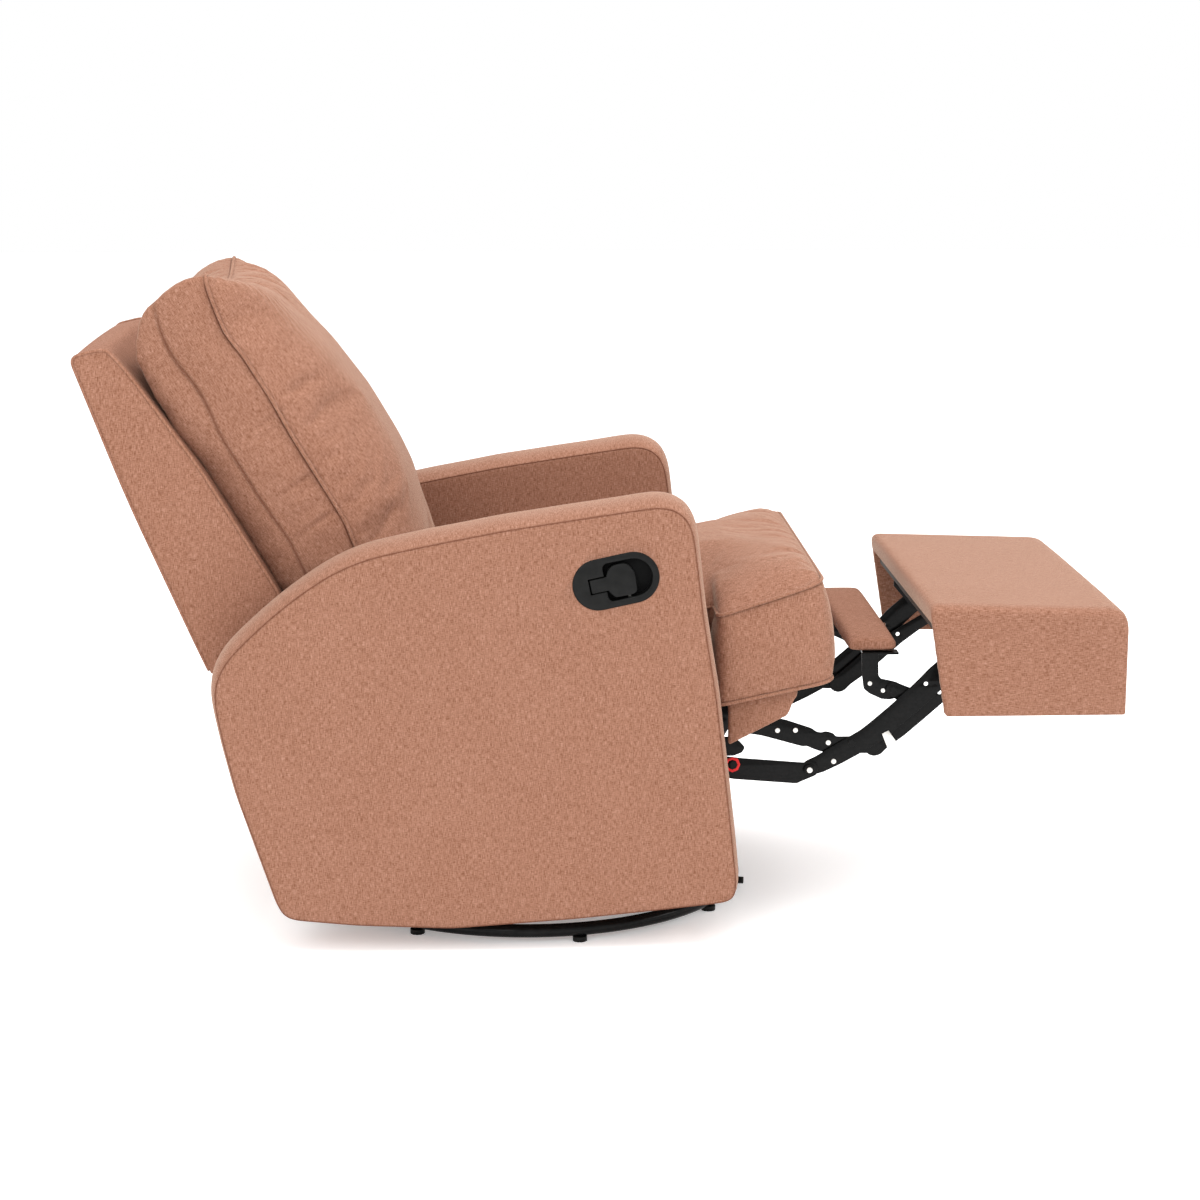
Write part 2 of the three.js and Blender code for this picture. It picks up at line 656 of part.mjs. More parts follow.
// Back pillow: front and rear faces on one grid of places, joined by a boxed edge
function buildPillow() {
  const lean = radians(pillowLean);
  const [ux, uz, nx, nz] = [-Math.sin(lean), Math.cos(lean), Math.cos(lean), Math.sin(lean)];
  const [columns, rows] = [30, 10];
  const [halfHeight, midHeight] = [(pillowHigh - pillowLow) / 2, (pillowHigh + pillowLow) / 2];
  const spot = (a, b, swell) => {
    const y = (pillowHalfWidth + swell) * a * (1 - pillowHornShare * (1 - b * b));
    const dip = b > 0 ? pillowTopDip * (1 - a * a) * b ** 4 : 0;
    return [y, midHeight + (halfHeight + swell) * b - dip];
  };
  const toPlace = ([y, s], n) => [ux * s + nx * n, y, uz * s + nz * n];
  const frontRise = (a, b) => {
    const dome = (1 - a ** 4) ** 0.75 * (1 - Math.abs(b) ** 3.2) ** 0.7;
    const top = THREE.MathUtils.smoothstep(b, -0.1, 0.75);
    const across = a * pillowHalfWidth;
    const nearest = Math.abs(across - channelPitch * Math.round(across / channelPitch));
    const channels = Math.abs(across) < (channelPitch * channelCount) / 2 ? 1 : 0;
    const groove = channels * top * Math.max(0, 1 - nearest / (channelPitch / 4));
    return pillowCrown * dome - channelDepth * groove * dome;
  };
  const edge = [];
  for (let i = 0; i < columns; i += 1) edge.push([i, 0]);
  for (let j = 0; j < rows; j += 1) edge.push([columns, j]);
  for (let i = columns; i > 0; i -= 1) edge.push([i, rows]);
  for (let j = rows; j > 0; j -= 1) edge.push([0, j]);
  const unit = ([i, j]) => [(2 * i) / columns - 1, (2 * j) / rows - 1];
  const depthShares = [[0, -1.6], [0.08, -0.3], [0.36, 0], [0.66, 1], [1, 0]];
  const seamDepth = pillowFrontSeam - pillowRear;
  const knee = placed(backHinge, [backReach, backHeight], [backCornerShares[backKnee]])[0];
  const restDepth = knee[0] * nx + knee[1] * nz + fit;
  const positions = [];
  const index = [];
  const put = (place) => positions.push(...place) / 3 - 1;
  const rearPlace = (cell) => {
    const [a, b] = unit(cell);
    return spot(a * pillowRearShare, b * pillowRearShare, 0);
  };
  const bands = [edge.map((cell) => put(toPlace(rearPlace(cell), restDepth)))];
  depthShares.forEach(([share, swell]) => bands.push(edge.map((cell) => {
    const [a, b] = unit(cell);
    return put(toPlace(spot(a, b, swell * pillowBulge), pillowRear + share * seamDepth));
  })));
  for (let band = 0; band + 1 < bands.length; band += 1) {
    edge.forEach((_, step) => {
      const next = (step + 1) % edge.length;
      const [low, high] = [bands[band], bands[band + 1]];
      const [a, b, c, d] = [low[step], low[next], high[next], high[step]];
      index.push(a, b, c, a, c, d);
    });
  }
  const frontIds = new Map(edge.map((cell, step) => [cell.join(), bands[bands.length - 1][step]]));
  for (let i = 1; i < columns; i += 1) {
    for (let j = 1; j < rows; j += 1) {
      const [a, b] = unit([i, j]);
      frontIds.set([i, j].join(), put(toPlace(spot(a, b, 0), pillowFrontSeam + frontRise(a, b))));
    }
  }
  for (let i = 0; i < columns; i += 1) {
    for (let j = 0; j < rows; j += 1) {
      const cells = [[i, j], [i + 1, j], [i + 1, j + 1], [i, j + 1]];
      const corners = cells.map((cell) => frontIds.get(cell.join()));
      index.push(corners[0], corners[1], corners[2], corners[0], corners[2], corners[3]);
    }
  }
  const rear = edge.map((cell) => new THREE.Vector2(...rearPlace(cell)));
  THREE.ShapeUtils.triangulateShape(rear, []).forEach(([a, b, c]) => {
    index.push(bands[0][a], bands[0][c], bands[0][b]);
  });
  const geometry = new THREE.BufferGeometry();
  geometry.setAttribute('position', new THREE.BufferAttribute(new Float32Array(positions), 3));
  geometry.setIndex(index);
  addPiece('back_cushion', surface(solid(geometry)), fabric);
}

// Seat: a T-shaped cushion on a deck with a skirt, carried by two steel rails
const seatBottomAt = (x) => seatLowHeight + seatSlopeShare * (x - earRear);
const deckTopAt = (x) => seatBottomAt(x) - seatGap;

function seatPlan() {
  const corners = [
    [seatRear, -seatHalfWidth], [earRear, -seatHalfWidth],
    [earRear, -earHalfWidth], [seatFront, -earHalfWidth],
    [seatFront, earHalfWidth], [earRear, earHalfWidth],
    [earRear, seatHalfWidth], [seatRear, seatHalfWidth],
  ];
  return rounded(corners, [1, 0, 0.6, 1, 1, 0.6, 0, 1], seatCornerRadius, 3);
}

function subdivided(points, longest) {
  return points.flatMap((point, index) => {
    const next = points[(index + 1) % points.length];
    const count = Math.ceil(Math.hypot(next[0] - point[0], next[1] - point[1]) / longest);
    return Array.from({ length: count }, (_, step) => [
      point[0] + ((next[0] - point[0]) * step) / count,
      point[1] + ((next[1] - point[1]) * step) / count,
    ]);
  });
}

const domeShares = [0.06, 0.16, 0.32, 0.55, 0.8];

function buildSeatCushion() {
  const plan = subdivided(seatPlan(), seatHalfWidth / 4);
  const normals = outward(plan);
  const topAt = (x) => {
    const ahead = x - earRear;
    const curve = (seatTopCurveShare * ahead ** 2) / (seatFront - seatRear);
    return seatTopHeight + seatTopSlopeShare * ahead + curve;
  };
  const spine = [seatRear + seatHalfWidth * 0.75, seatFront - earHalfWidth * 0.4];
  const wall = ([rise, swell]) => plan.map(([x, y], index) => {
    const push = swell * seatBulge;
    const height = topAt(x) - seatBottomAt(x);
    const lean = x >= earRear ? earLeanShare * height * (0.5 - rise) : 0;
    const px = x + Math.max(0, normals[index][0]) * push + lean;
    const py = x > earRear ? y + normals[index][1] * push : y;
    return [px, py, seatBottomAt(px) + rise * height];
  });
  const walls = [[0, -1], [0.1, 0.1], [0.4, 1], [0.7, 0.8], [0.93, 0], [1, -1.2]].map(wall);
  const seam = walls[walls.length - 1];
  const [middle, reach] = [(seatFront + seatRear) / 2, (seatFront - seatRear) / 2];
  const fullness = (x, y) => {
    const ahead = THREE.MathUtils.smoothstep(x, earRear / 2, earRear);
    const half = THREE.MathUtils.lerp(seatHalfWidth, earHalfWidth, ahead);
    return Math.sqrt(Math.max(0, (1 - (y / half) ** 4) * (1 - ((x - middle) / reach) ** 4)));
  };
  const dome = domeShares.map((inset) => seam.map(([x, y, z]) => {
    const to = THREE.MathUtils.clamp(x, spine[0], spine[1]);
    const [px, py] = [x + (to - x) * inset, y * (1 - inset)];
    const rise = seatCrown * fullness(px, py) * Math.min(1, inset / domeShares[2]) ** 0.6;
    return [px, py, topAt(px) + (z - topAt(x)) * (1 - inset) + rise];
  }));
  const cap = plan.map(([x, y]) => [x, y]);
  addPiece('seat_cushion', surface(solid(loft([...walls, ...dome], cap))), fabric);
}

function buildDeck() {
  const strip = (from, to) => [
    [from, deckTopAt(from) - deckThickness],
    [to, deckTopAt(to) - deckThickness],
    [to, deckTopAt(to)],
    [from, deckTopAt(from)],
  ];
  const earStart = earRear + armCrown * 2 + fit;
  const main = sideSlab(strip(seatRear, deckFront), [-deckHalfWidth, deckHalfWidth]);
  const wings = sideSlab(strip(earStart, deckFront), [-skirtHalfWidth, skirtHalfWidth]);
  const skirtOutline = [
    [earStart, deckTopAt(earStart) - apronDrop * 1.52],
    [deckFront - skirtThickness, deckTopAt(deckFront) - apronDrop],
    [deckFront, deckTopAt(deckFront) - deckThickness / 2],
    [earStart, deckTopAt(earStart) - deckThickness / 2],
  ];
  const skirtLayer = [skirtHalfWidth - skirtThickness, skirtHalfWidth];
  const skirts = sides.map(([, sign]) => sideSlab(skirtOutline, layerOf(skirtLayer, sign)));
  const apron = [
    [deckFront - 2 * skirtThickness, deckTopAt(deckFront) - apronDrop * apronFrontShare],
    [deckFront - skirtThickness, deckTopAt(deckFront) - apronDrop * apronFrontShare],
    [deckFront, deckTopAt(deckFront) - deckThickness / 2],
    [deckFront - skirtThickness, deckTopAt(deckFront) - deckThickness / 2],
  ];
  const front = sideSlab(apron, [-skirtHalfWidth, skirtHalfWidth]);
  addPiece('seat_deck', joined(main, wings, ...skirts, front), fabric);
}

// Leg rest linkage: pivots as shares of the linkage's reach and rise
const pivotShares = {
  lower: [0, 0.08],
  cross: [0.1281, 0.4171],
  lowerTip: [0.3955, 0],
  crossing: [0.5393, 0.2286],
  lobe: [0.618, 0.2],
  restRear: [0.9135, 1],
  restFront: [0.9989, 0.8629],
};
const pivotAt = (shares) => (
  placed([mechanismRear, mechanismLow], [mechanismReach, mechanismRise], [shares])[0]);
const pivots = Object.fromEntries(
  Object.entries(pivotShares).map(([name, shares]) => [name, pivotAt(shares)]));

function buildSeatRails(liftFoot) {
  const rearTop = [seatRear, deckTopAt(seatRear) - deckThickness - fit];
  const frontTop = [deckFront - apronDrop * 2, deckTopAt(deckFront - apronDrop * 2) - deckThickness - fit];
  const railOutline = [
    [liftFoot[0] - glideEar, liftFoot[1] - glideEar / 2],
    [liftFoot[0] + glideEar / 2, liftFoot[1] - glideEar],
    [rearTop[0] + railHeight, rearTop[1] - railHeight],
    [pivots.lower[0] - 2 * glideEar, pivots.lower[1] - glideEar],
    [pivots.lower[0] + glideEar, pivots.lower[1] - glideEar],
    [frontTop[0], frontTop[1] - railHeight],
    frontTop,
    rearTop,
    [liftFoot[0] - glideEar, liftFoot[1] + glideEar],
  ];
  sides.forEach(([name, sign]) => {
    const shape = withHoles(shapeOf(railOutline), [[seatHinge, studRadius + fit]]);
    const body = sideSlab(shape, layerOf(railLayer, sign));
    const studs = [
      pin(pivots.lower, studRadius, layerOf([lowerLayer[0] - fit, railLayer[0] + layerGap], sign)),
      pin(pivots.cross, studRadius, layerOf([crossLayer[0] - fit, railLayer[0] + layerGap], sign)),
      pin(liftFoot, studRadius, layerOf([liftLayer[0], railLayer[0] + layerGap], sign)),
    ];
    addPiece(`seat_rail_${name}`, joined(body, ...studs), steel);
    const baseOutline = [
      [backHinge[0] - bracketLobe, backHinge[1] - bracketLobe],
      [seatHinge[0] + bracketLobe, seatHinge[1] - bracketLobe],
      [seatHinge[0] + bracketLobe, seatHinge[1] + bracketLobe],
      [backHinge[0] - bracketLobe, backHinge[1] + bracketLobe],
    ];
    const hinges = [backHinge, seatHinge].map((place) => (
      pin(place, studRadius, layerOf([railLayer[0] - fit, baseLayer[0] + layerGap], sign))));
    const base = sideSlab(baseOutline, layerOf(baseLayer, sign));
    addPiece(`mechanism_rail_${name}`, joined(base, ...hinges), steel);
  });
}

function buildLinkage() {
  const { lower, cross, lowerTip, crossing, lobe, restRear, restFront } = pivots;
  const loose = studRadius + fit;
  const tubeEnd = crossLayer[0] - fit;
  const outer = new THREE.Shape().absarc(cross[0], cross[1], torqueTube, 0, 2 * Math.PI, false);
  outer.holes.push(hole(cross, torqueTube - torqueTubeWall));
  addPiece('torque_tube', sideSlab(outer, [-tubeEnd, tubeEnd], 8), steel);
  const midPivot = pivotAt(midPadPivotShares);
  sides.forEach(([name, sign]) => {
    const at = (layer) => layerOf(layer, sign);
    const head = (place, face, outwards) => {
      const span = outwards ? [face - layerGap, face + rivetHead] : [face - rivetHead, face + layerGap];
      return pin(place, rivetRadius, at(span), 10);
    };
    const lowerShape = withHoles(barShape(lower, lowerTip, glideEar, glideEar), [[lower, loose]]);
    const [bodyRear, bodyFront] = [along(lower, lowerTip, 0.18), along(lower, lowerTip, 0.86)];
    const lowerBody = barShape(bodyRear, bodyFront, barWidth / 2, barWidth / 2);
    addPiece(`lower_link_${name}`, joined(
      sideSlab(lowerShape, at(lowerLayer)),
      sideSlab(lowerBody, at(lowerLayer)),
      head(lowerTip, lowerLayer[1], true),
    ), steel);
    const lowerLength = Math.hypot(lowerTip[0] - lower[0], lowerTip[1] - lower[1]);
    const washerCentre = along(lower, lowerTip, washerPlace / lowerLength);
    const washer = new THREE.Shape();
    washer.absarc(washerCentre[0], washerCentre[1], washerRadius, 0, 2 * Math.PI, false);
    washer.holes.push(hole(washerCentre, washerBore));
    const washerLayer = [lowerLayer[1] + fit, railLayer[0] - fit];
    addPiece(`link_washer_${name}`, sideSlab(washer, at(washerLayer)), redPlastic);

    const crossShape = withHoles(barShape(cross, lobe, crossLinkWidth / 2, crossLinkWidth / 2), [
      [cross, loose],
      [crossing, loose],
    ]);
    addPiece(`cross_link_${name}`, joined(
      sideSlab(crossShape, at(crossLayer)),
      pin(lobe, studRadius, at([frontLayer[0], crossLayer[0] + layerGap])),
    ), steel);

    const tipShape = barShape(lowerTip, along(lowerTip, restRear, 0.4), longLinkTip / 2, longLinkTip / 2);
    const wide = sideSlab(barShape(
      along(lowerTip, restRear, 0.42),
      restRear,
      longLinkWidth / 2 - rivetHead,
      longLinkWidth / 2,
    ), at(longLayer));
    addPiece(`long_link_${name}`, joined(
      sideSlab(tipShape, at(longLayer)),
      wide,
      pin(crossing, studRadius, at([crossLayer[0], longLayer[0] + layerGap])),
      pin(restRear, studRadius, at([crossLayer[0], longLayer[0] + layerGap])),
      head(lowerTip, longLayer[0], false),
    ), steel);

    const frontBar = barShape(lobe, restFront, glideEar - fit, frontLinkWidth / 2);
    const frontShape = withHoles(frontBar, [[lobe, loose]]);
    const hornFoot = along(lobe, restFront, 0.22);
    addPiece(`front_link_${name}`, joined(
      sideSlab(frontShape, at(frontLayer)),
      sideSlab(barShape(hornFoot, midPivot, frontLinkWidth / 2, studRadius * 2), at(frontLayer)),
      pin(midPivot, studRadius, at([padLayer[0], frontLayer[0] + layerGap])),
    ), steel);
  });
}

// Leg rest: a padded tray on a board, held by two brackets
function buildFootrest() {
  const { restRear, restFront } = pivots;
  const rear = restRear[0] - footrestRearOfPivot;
  const top = restRear[1] + footrestRiseOverPivot;
  const front = rear + footrestLength;
  const bottom = top - footrestDepth;
  const corners = [
    [rear + footrestRearLean, bottom],
    [front - fit, bottom],
    [front, top - footrestRound / 2],
    [rear, top],
  ];
  const outline = rounded(corners, [0.3, 0.3, 1.6, 0.8], footrestRound, 5);
  const weight = ([nx, nz]) => THREE.MathUtils.clamp(nz + 0.6 * Math.max(nx, 0) + 0.1, 0, 1);
  const roundShares = [[1, 1], [0.995, 0.55], [0.97, 0.15], [0.93, 0], [0.5, -0.1]];
  const half = earHalfWidth;
  const stationsAt = [...roundShares.map(([share, drop]) => [-share, drop]), ...roundShares.reverse()];
  const stations = stationsAt.map(([share, drop]) => (
    { y: half * share, swell: -footrestRound * 0.6 * drop, scale: 1 }));
  const tray = upholstered(outline, stations, weight);
  const hollow = box(
    [rear - cutOverrun * 2, front - footrestFlap],
    [footrestFlap - half, half - footrestFlap],
    [bottom - cutOverrun, top - footrestTop],
  );
  addPiece('footrest_cover', cutFrom(tray, hollow), fabric);

  const boardTop = top - footrestTop - fit;
  const boardHalf = half - boardSideInset;
  const boardBottom = boardTop - boardThickness;
  addPiece('footrest_board', box(
    [rear + boardInset, front - footrestFlap - boardInset],
    [-boardHalf, boardHalf],
    [boardBottom, boardTop],
  ), timber);
  const stripTop = boardBottom - fit;
  const stripLow = stripTop - longLinkTip;
  const bracketOutline = [
    [restRear[0] - glideEar, restRear[1] - glideEar],
    [restFront[0] - glideEar, restFront[1] - glideEar],
    [restFront[0] + glideEar, restFront[1] - glideEar],
    [restFront[0] + glideEar, restFront[1] + glideEar],
    [front - footrestFlap - boardInset * 4, stripLow],
    [front - footrestFlap - boardInset * 4, stripTop],
    [rear + boardInset * 2, stripTop],
    [rear + boardInset * 2, stripLow],
  ];
  sides.forEach(([name, sign]) => {
    const shape = withHoles(shapeOf(bracketOutline), [[restRear, studRadius + fit]]);
    addPiece(`footrest_bracket_${name}`, sideSlab(shape, layerOf(crossLayer, sign)), steel);
  });
}

// Small pad that fills the space behind the leg rest
function buildMidPad() {
  const pivot = pivotAt(midPadPivotShares);
  const bottom = pivot[1] + midPadRise;
  const rear = pivot[0] - midPadRear;
  const corners = [
    [rear, bottom],
    [rear + midPadLength, bottom],
    [rear + midPadLength, bottom + midPadThickness],
    [rear, bottom + midPadThickness],
  ];
  const outline = rounded(corners, [0.6, 0.6, 1, 1], midPadRound, 3);
  const half = padLayer[0] - midPadSideGap;
  const stations = [-1, -0.985, -0.94, 0.94, 0.985, 1].map((share) => (
    { y: half * share, swell: Math.abs(share) === 1 ? -midPadRound / 2 : 0, scale: 1 }));
  addPiece('mid_pad', upholstered(outline, stations, () => 1), fabric);
  const strapTop = bottom - fit;
  const elbow = [pivot[0] - midPadRear / 2, pivot[1] + glideEar];
  sides.forEach(([name, sign]) => {
    const armBar = barShape(pivot, elbow, studRadius * 2, studRadius * 2);
    const arm = withHoles(armBar, [[pivot, studRadius + fit]]);
    const upright = [
      [elbow[0] - studRadius * 2, elbow[1]],
      [elbow[0] + studRadius * 2, elbow[1]],
      [elbow[0] + studRadius * 2, strapTop],
      [elbow[0] - studRadius * 2, strapTop],
    ];
    const flange = box(
      [elbow[0] - studRadius * 2, elbow[0] + studRadius * 2],
      layerOf([padLayer[1] - midFlangeWidth, padLayer[1]], sign),
      [strapTop - midFlange, strapTop],
    );
    addPiece(`mid_pad_bracket_${name}`, joined(
      sideSlab(arm, layerOf(padLayer, sign)),
      sideSlab(upright, layerOf(padLayer, sign)),
      flange,
    ), steel);
  });
}

buildGlider(buildBase());
buildArms();
buildHandle();
buildRearPanel();
const liftFoot = buildBack();
buildPillow();
buildSeatCushion();
buildDeck();
buildSeatRails(liftFoot);
buildLinkage();
buildFootrest();
buildMidPad();

// The frame's origin is on the floor under the middle of the whole chair
const bounds = new THREE.Box3().setFromObject(chair);
const centre = bounds.getCenter(new THREE.Vector3());
chair.position.set(-centre.x, -centre.y, -bounds.min.z);

export default chair;
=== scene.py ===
"""Looks of a swivel glider recliner with its leg rest out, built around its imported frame."""
import json
import math

import bmesh
import bpy
import numpy as np
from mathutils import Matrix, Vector


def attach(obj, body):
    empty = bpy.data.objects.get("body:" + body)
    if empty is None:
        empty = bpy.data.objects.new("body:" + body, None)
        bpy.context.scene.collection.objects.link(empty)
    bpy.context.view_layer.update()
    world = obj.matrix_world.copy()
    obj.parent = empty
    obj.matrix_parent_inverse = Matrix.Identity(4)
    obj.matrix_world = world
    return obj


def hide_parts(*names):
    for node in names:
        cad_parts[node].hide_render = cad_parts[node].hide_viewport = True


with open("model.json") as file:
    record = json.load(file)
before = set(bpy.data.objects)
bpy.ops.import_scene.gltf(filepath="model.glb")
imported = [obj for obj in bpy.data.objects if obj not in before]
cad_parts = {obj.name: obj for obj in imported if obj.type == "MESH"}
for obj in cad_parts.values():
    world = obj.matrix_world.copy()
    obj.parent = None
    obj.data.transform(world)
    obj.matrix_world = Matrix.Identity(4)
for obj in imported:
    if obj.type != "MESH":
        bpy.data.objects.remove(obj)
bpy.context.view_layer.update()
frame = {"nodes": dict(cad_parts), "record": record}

# Shapes are worked out in millimetres from the swivel axis, and become metres in the frame
MM = 0.001
SWIVEL_X = -0.104488
ARM_FACE = 362.0
ARM_INNER = 244.0
CLOTH_REACH = ARM_INNER - 1.5
SIDES = (("left", 1), ("right", -1))


def in_frame(points):
    """Millimetres from the swivel axis become metres in the frame: scaled, then moved along X."""
    points = np.asarray(points, float) * MM
    points[..., 0] += SWIVEL_X
    return points


# Curves
def arc_lengths(path):
    """Distance along a path at each of its points: the running sum of its steps."""
    return np.concatenate([[0], np.cumsum(np.linalg.norm(np.diff(path, axis=0), axis=1))])


def resampled(path, count, closed=True):
    """The same path at equal steps: each coordinate is interpolated along the path's length."""
    path = np.asarray(path, float)
    if closed:
        path = np.vstack([path, path[:1]])
    lengths = arc_lengths(path)
    where = np.linspace(0, lengths[-1], count, endpoint=not closed)
    return np.stack([np.interp(where, lengths, path[:, k]) for k in range(path.shape[1])], 1)


def eased(path, width):
    """A closed path with its corners eased by a Gaussian mean, width points wide."""
    reach = int(width * 3)
    kernel = np.exp(-0.5 * (np.arange(-reach, reach + 1) / width) ** 2)
    kernel /= kernel.sum()
    wide = np.pad(path, ((reach, reach), (0, 0)), mode="wrap")
    return np.stack([np.convolve(wide[:, k], kernel, "valid") for k in range(path.shape[1])], 1)


def rounded_corners(points, radii, steps=10):
    """An outline whose corners become curves: at each, P = (1-t)^2 start + 2t(1-t) corner + t^2 end."""
    points = np.asarray(points, float)
    result = []
    for index, radius in enumerate(radii):
        corner = points[index]
        if radius == 0:
            result.append(corner[None])
            continue
        before, after = points[index - 1] - corner, points[(index + 1) % len(points)] - corner
        back = min(radius, np.linalg.norm(before) * 0.48, np.linalg.norm(after) * 0.48)
        start = corner + before * back / np.linalg.norm(before)
        end = corner + after * back / np.linalg.norm(after)
        t = np.linspace(0, 1, steps)[:, None]
        result.append((1 - t) ** 2 * start + 2 * t * (1 - t) * corner + t ** 2 * end)
    return np.vstack(result)


def outward(outline):
    """Unit normals of a closed outline in its plane, to the right of its direction."""
    ahead = np.roll(outline, -1, 0) - np.roll(outline, 1, 0)
    ahead /= np.maximum(np.linalg.norm(ahead, axis=1, keepdims=True), 1e-9)
    return np.stack([ahead[:, 1], -ahead[:, 0]], 1)


# Meshes
def placed(name, data):
    """A new object in the scene, made of a mesh, curve, lamp or camera."""
    thing = bpy.data.objects.new(name, data)
    bpy.context.scene.collection.objects.link(thing)
    return thing


def smooth(mesh):
    """All faces of a mesh are shaded smooth."""
    mesh.polygons.foreach_set("use_smooth", np.ones(len(mesh.polygons), bool))


def mesh_piece(name, points, faces):
    """A piece from points in millimetres and faces."""
    mesh = bpy.data.meshes.new(name)
    mesh.from_pydata(in_frame(points).tolist(), [], faces)
    mesh.validate()
    smooth(mesh)
    mesh.update()
    return placed(name, mesh)


def grid_faces(rows, columns):
    """Quads between the rows of a grid whose rows close on themselves, as indices into its points."""
    i, j = np.meshgrid(np.arange(rows - 1), np.arange(columns), indexing="ij")
    i, j = i.ravel(), j.ravel()
    k = (j + 1) % columns
    return np.stack([i * columns + j, i * columns + k, (i + 1) * columns + k, (i + 1) * columns + j], 1)


def turned_out(piece):
    """Faces of a closed new piece made to point outwards, with doubled points merged."""
    work = bmesh.new()
    work.from_mesh(piece.data)
    bmesh.ops.remove_doubles(work, verts=work.verts, dist=1e-6)
    bmesh.ops.recalc_face_normals(work, faces=work.faces)
    work.to_mesh(piece.data)
    work.free()
    return piece


def modified(piece, kind, **settings):
    """A piece whose mesh takes up a modifier of this kind."""
    modifier = piece.modifiers.new(kind, kind)
    for name, value in settings.items():
        setattr(modifier, name, value)
    graph = bpy.context.evaluated_depsgraph_get()
    mesh = bpy.data.meshes.new_from_object(piece.evaluated_get(graph))
    piece.modifiers.clear()
    old = piece.data
    piece.data = mesh
    bpy.data.meshes.remove(old)
    return piece


def read(items, name, width=1, kind=float):
    """One value of each item, as an array with a row for each where the value is width numbers wide."""
    values = np.zeros(len(items) * width, kind)
    items.foreach_get(name, values)
    return values.reshape(-1, width) if width > 1 else values


def coordinates(piece):
    """The places of a piece's vertices, as an array in metres."""
    return read(piece.data.vertices, "co", 3, np.float32).astype(float)


def set_coordinates(piece, spots):
    """Vertices go to the places given, in metres."""
    piece.data.vertices.foreach_set("co", np.asarray(spots, np.float32).ravel())
    piece.data.update()


def shell(name, rings, cap_ends=True):
    """A closed skin through rings with as many points each, its ends closed by fans if asked."""
    rings = np.asarray(rings, float)
    rows, columns = rings.shape[:2]
    points = rings.reshape(-1, 3)
    faces = grid_faces(rows, columns).tolist()
    if cap_ends:
        points = np.vstack([points, rings[0].mean(0), rings[-1].mean(0)])
        here = np.arange(columns)
        there = (here + 1) % columns
        base, first = (rows - 1) * columns, np.full(columns, rows * columns)
        faces += np.stack([there, here, first], 1).tolist()
        faces += np.stack([base + here, base + there, first + 1], 1).tolist()
    return turned_out(mesh_piece(name, points, faces))


def tube(name, path, radius, closed=True, sides=10):
    """A welt or rod round a path: ring k is path[k] + radius (cos a side + sin a up).

    Side lies in the path's plane and up stands out of it, so the rings never twist.
    """
    path = np.asarray(path, float)
    ahead = np.roll(path, -1, 0) - np.roll(path, 1, 0) if closed else np.gradient(path, axis=0)
    ahead /= np.linalg.norm(ahead, axis=1, keepdims=True)
    spokes = path - path.mean(0)
    plane = np.cross(spokes, np.roll(spokes, -1, 0)).sum(0)
    if np.linalg.norm(plane) < 1:
        plane = np.array([0.0, 0.0, 1.0])
    side = np.cross(ahead, plane)
    side /= np.linalg.norm(side, axis=1, keepdims=True)
    up = np.cross(side, ahead)
    turn = np.linspace(0, 2 * np.pi, sides, endpoint=False)[None, :, None]
    rings = path[:, None] + radius * (np.cos(turn) * side[:, None] + np.sin(turn) * up[:, None])
    if closed:
        rings = np.concatenate([rings, rings[:1]])
    return shell(name, rings, cap_ends=not closed)


def near(spots, path):
    """Distance in metres from each place to the nearest point of a path in millimetres."""
    path = in_frame(path)
    nearest = [np.linalg.norm(part[:, None] - path[None], axis=2).min(1)
               for part in np.array_split(spots, max(1, len(spots) // 1500))]
    return np.concatenate(nearest)


def paint_seam_shade(piece, paths, width):
    """Painted seam shade at each vertex: exp(-(d / width)^2), with d its distance from the seams in millimetres;
    the weave darkens by it as if shade fell into the seams.
    """
    depth = np.exp(-(near(coordinates(piece), np.vstack(paths)) / (width * MM)) ** 2)
    layer = piece.data.attributes.new("seam_shade", "FLOAT", "POINT")
    layer.data.foreach_set("value", depth.astype(np.float32))
    return piece


def sharp_edges(piece, degrees):
    """Edges bent by more than the angle stay sharp, the others are smooth."""
    piece.data.set_sharp_from_angle(angle=math.radians(degrees))
    return piece


def weave_by_side(piece, across=(0, 1, 0), along=(0, 0, 1), turn=False):
    """Weave coordinates in metres, by the way a face looks, swapped if asked.

    A face that looks out takes (across, along), a side face (out, along) and a top face (across, out).
    """
    mesh = piece.data
    across, along = np.array(across, float), np.array(along, float)
    out = np.cross(across, along)
    normals = read(mesh.polygons, "normal", 3)
    looks = np.abs(np.stack([normals @ out, normals @ across, normals @ along], 1)).argmax(1)
    looks = np.repeat(looks, read(mesh.polygons, "loop_total", kind=int))
    spots = coordinates(piece)[read(mesh.loops, "vertex_index", kind=int)]
    a, b, c = spots @ across, spots @ along, spots @ out
    u = np.choose(looks, [a, c, a])
    v = np.choose(looks, [b, b, c])
    if turn:
        u, v = v, u
    layer = mesh.uv_layers.new(name="weave")
    layer.data.foreach_set("uv", np.stack([u, v], 1).astype(np.float32).ravel())
    return piece


# Materials
class Value:
    """A number in a material: arithmetic on it adds the Math node that does it."""

    def __init__(self, finish, socket):
        self.finish, self.socket = finish, socket

    def __add__(self, other):
        return self.finish.math("ADD", self, other)

    def __mul__(self, other):
        return self.finish.math("MULTIPLY", self, other)

    __radd__ = __add__


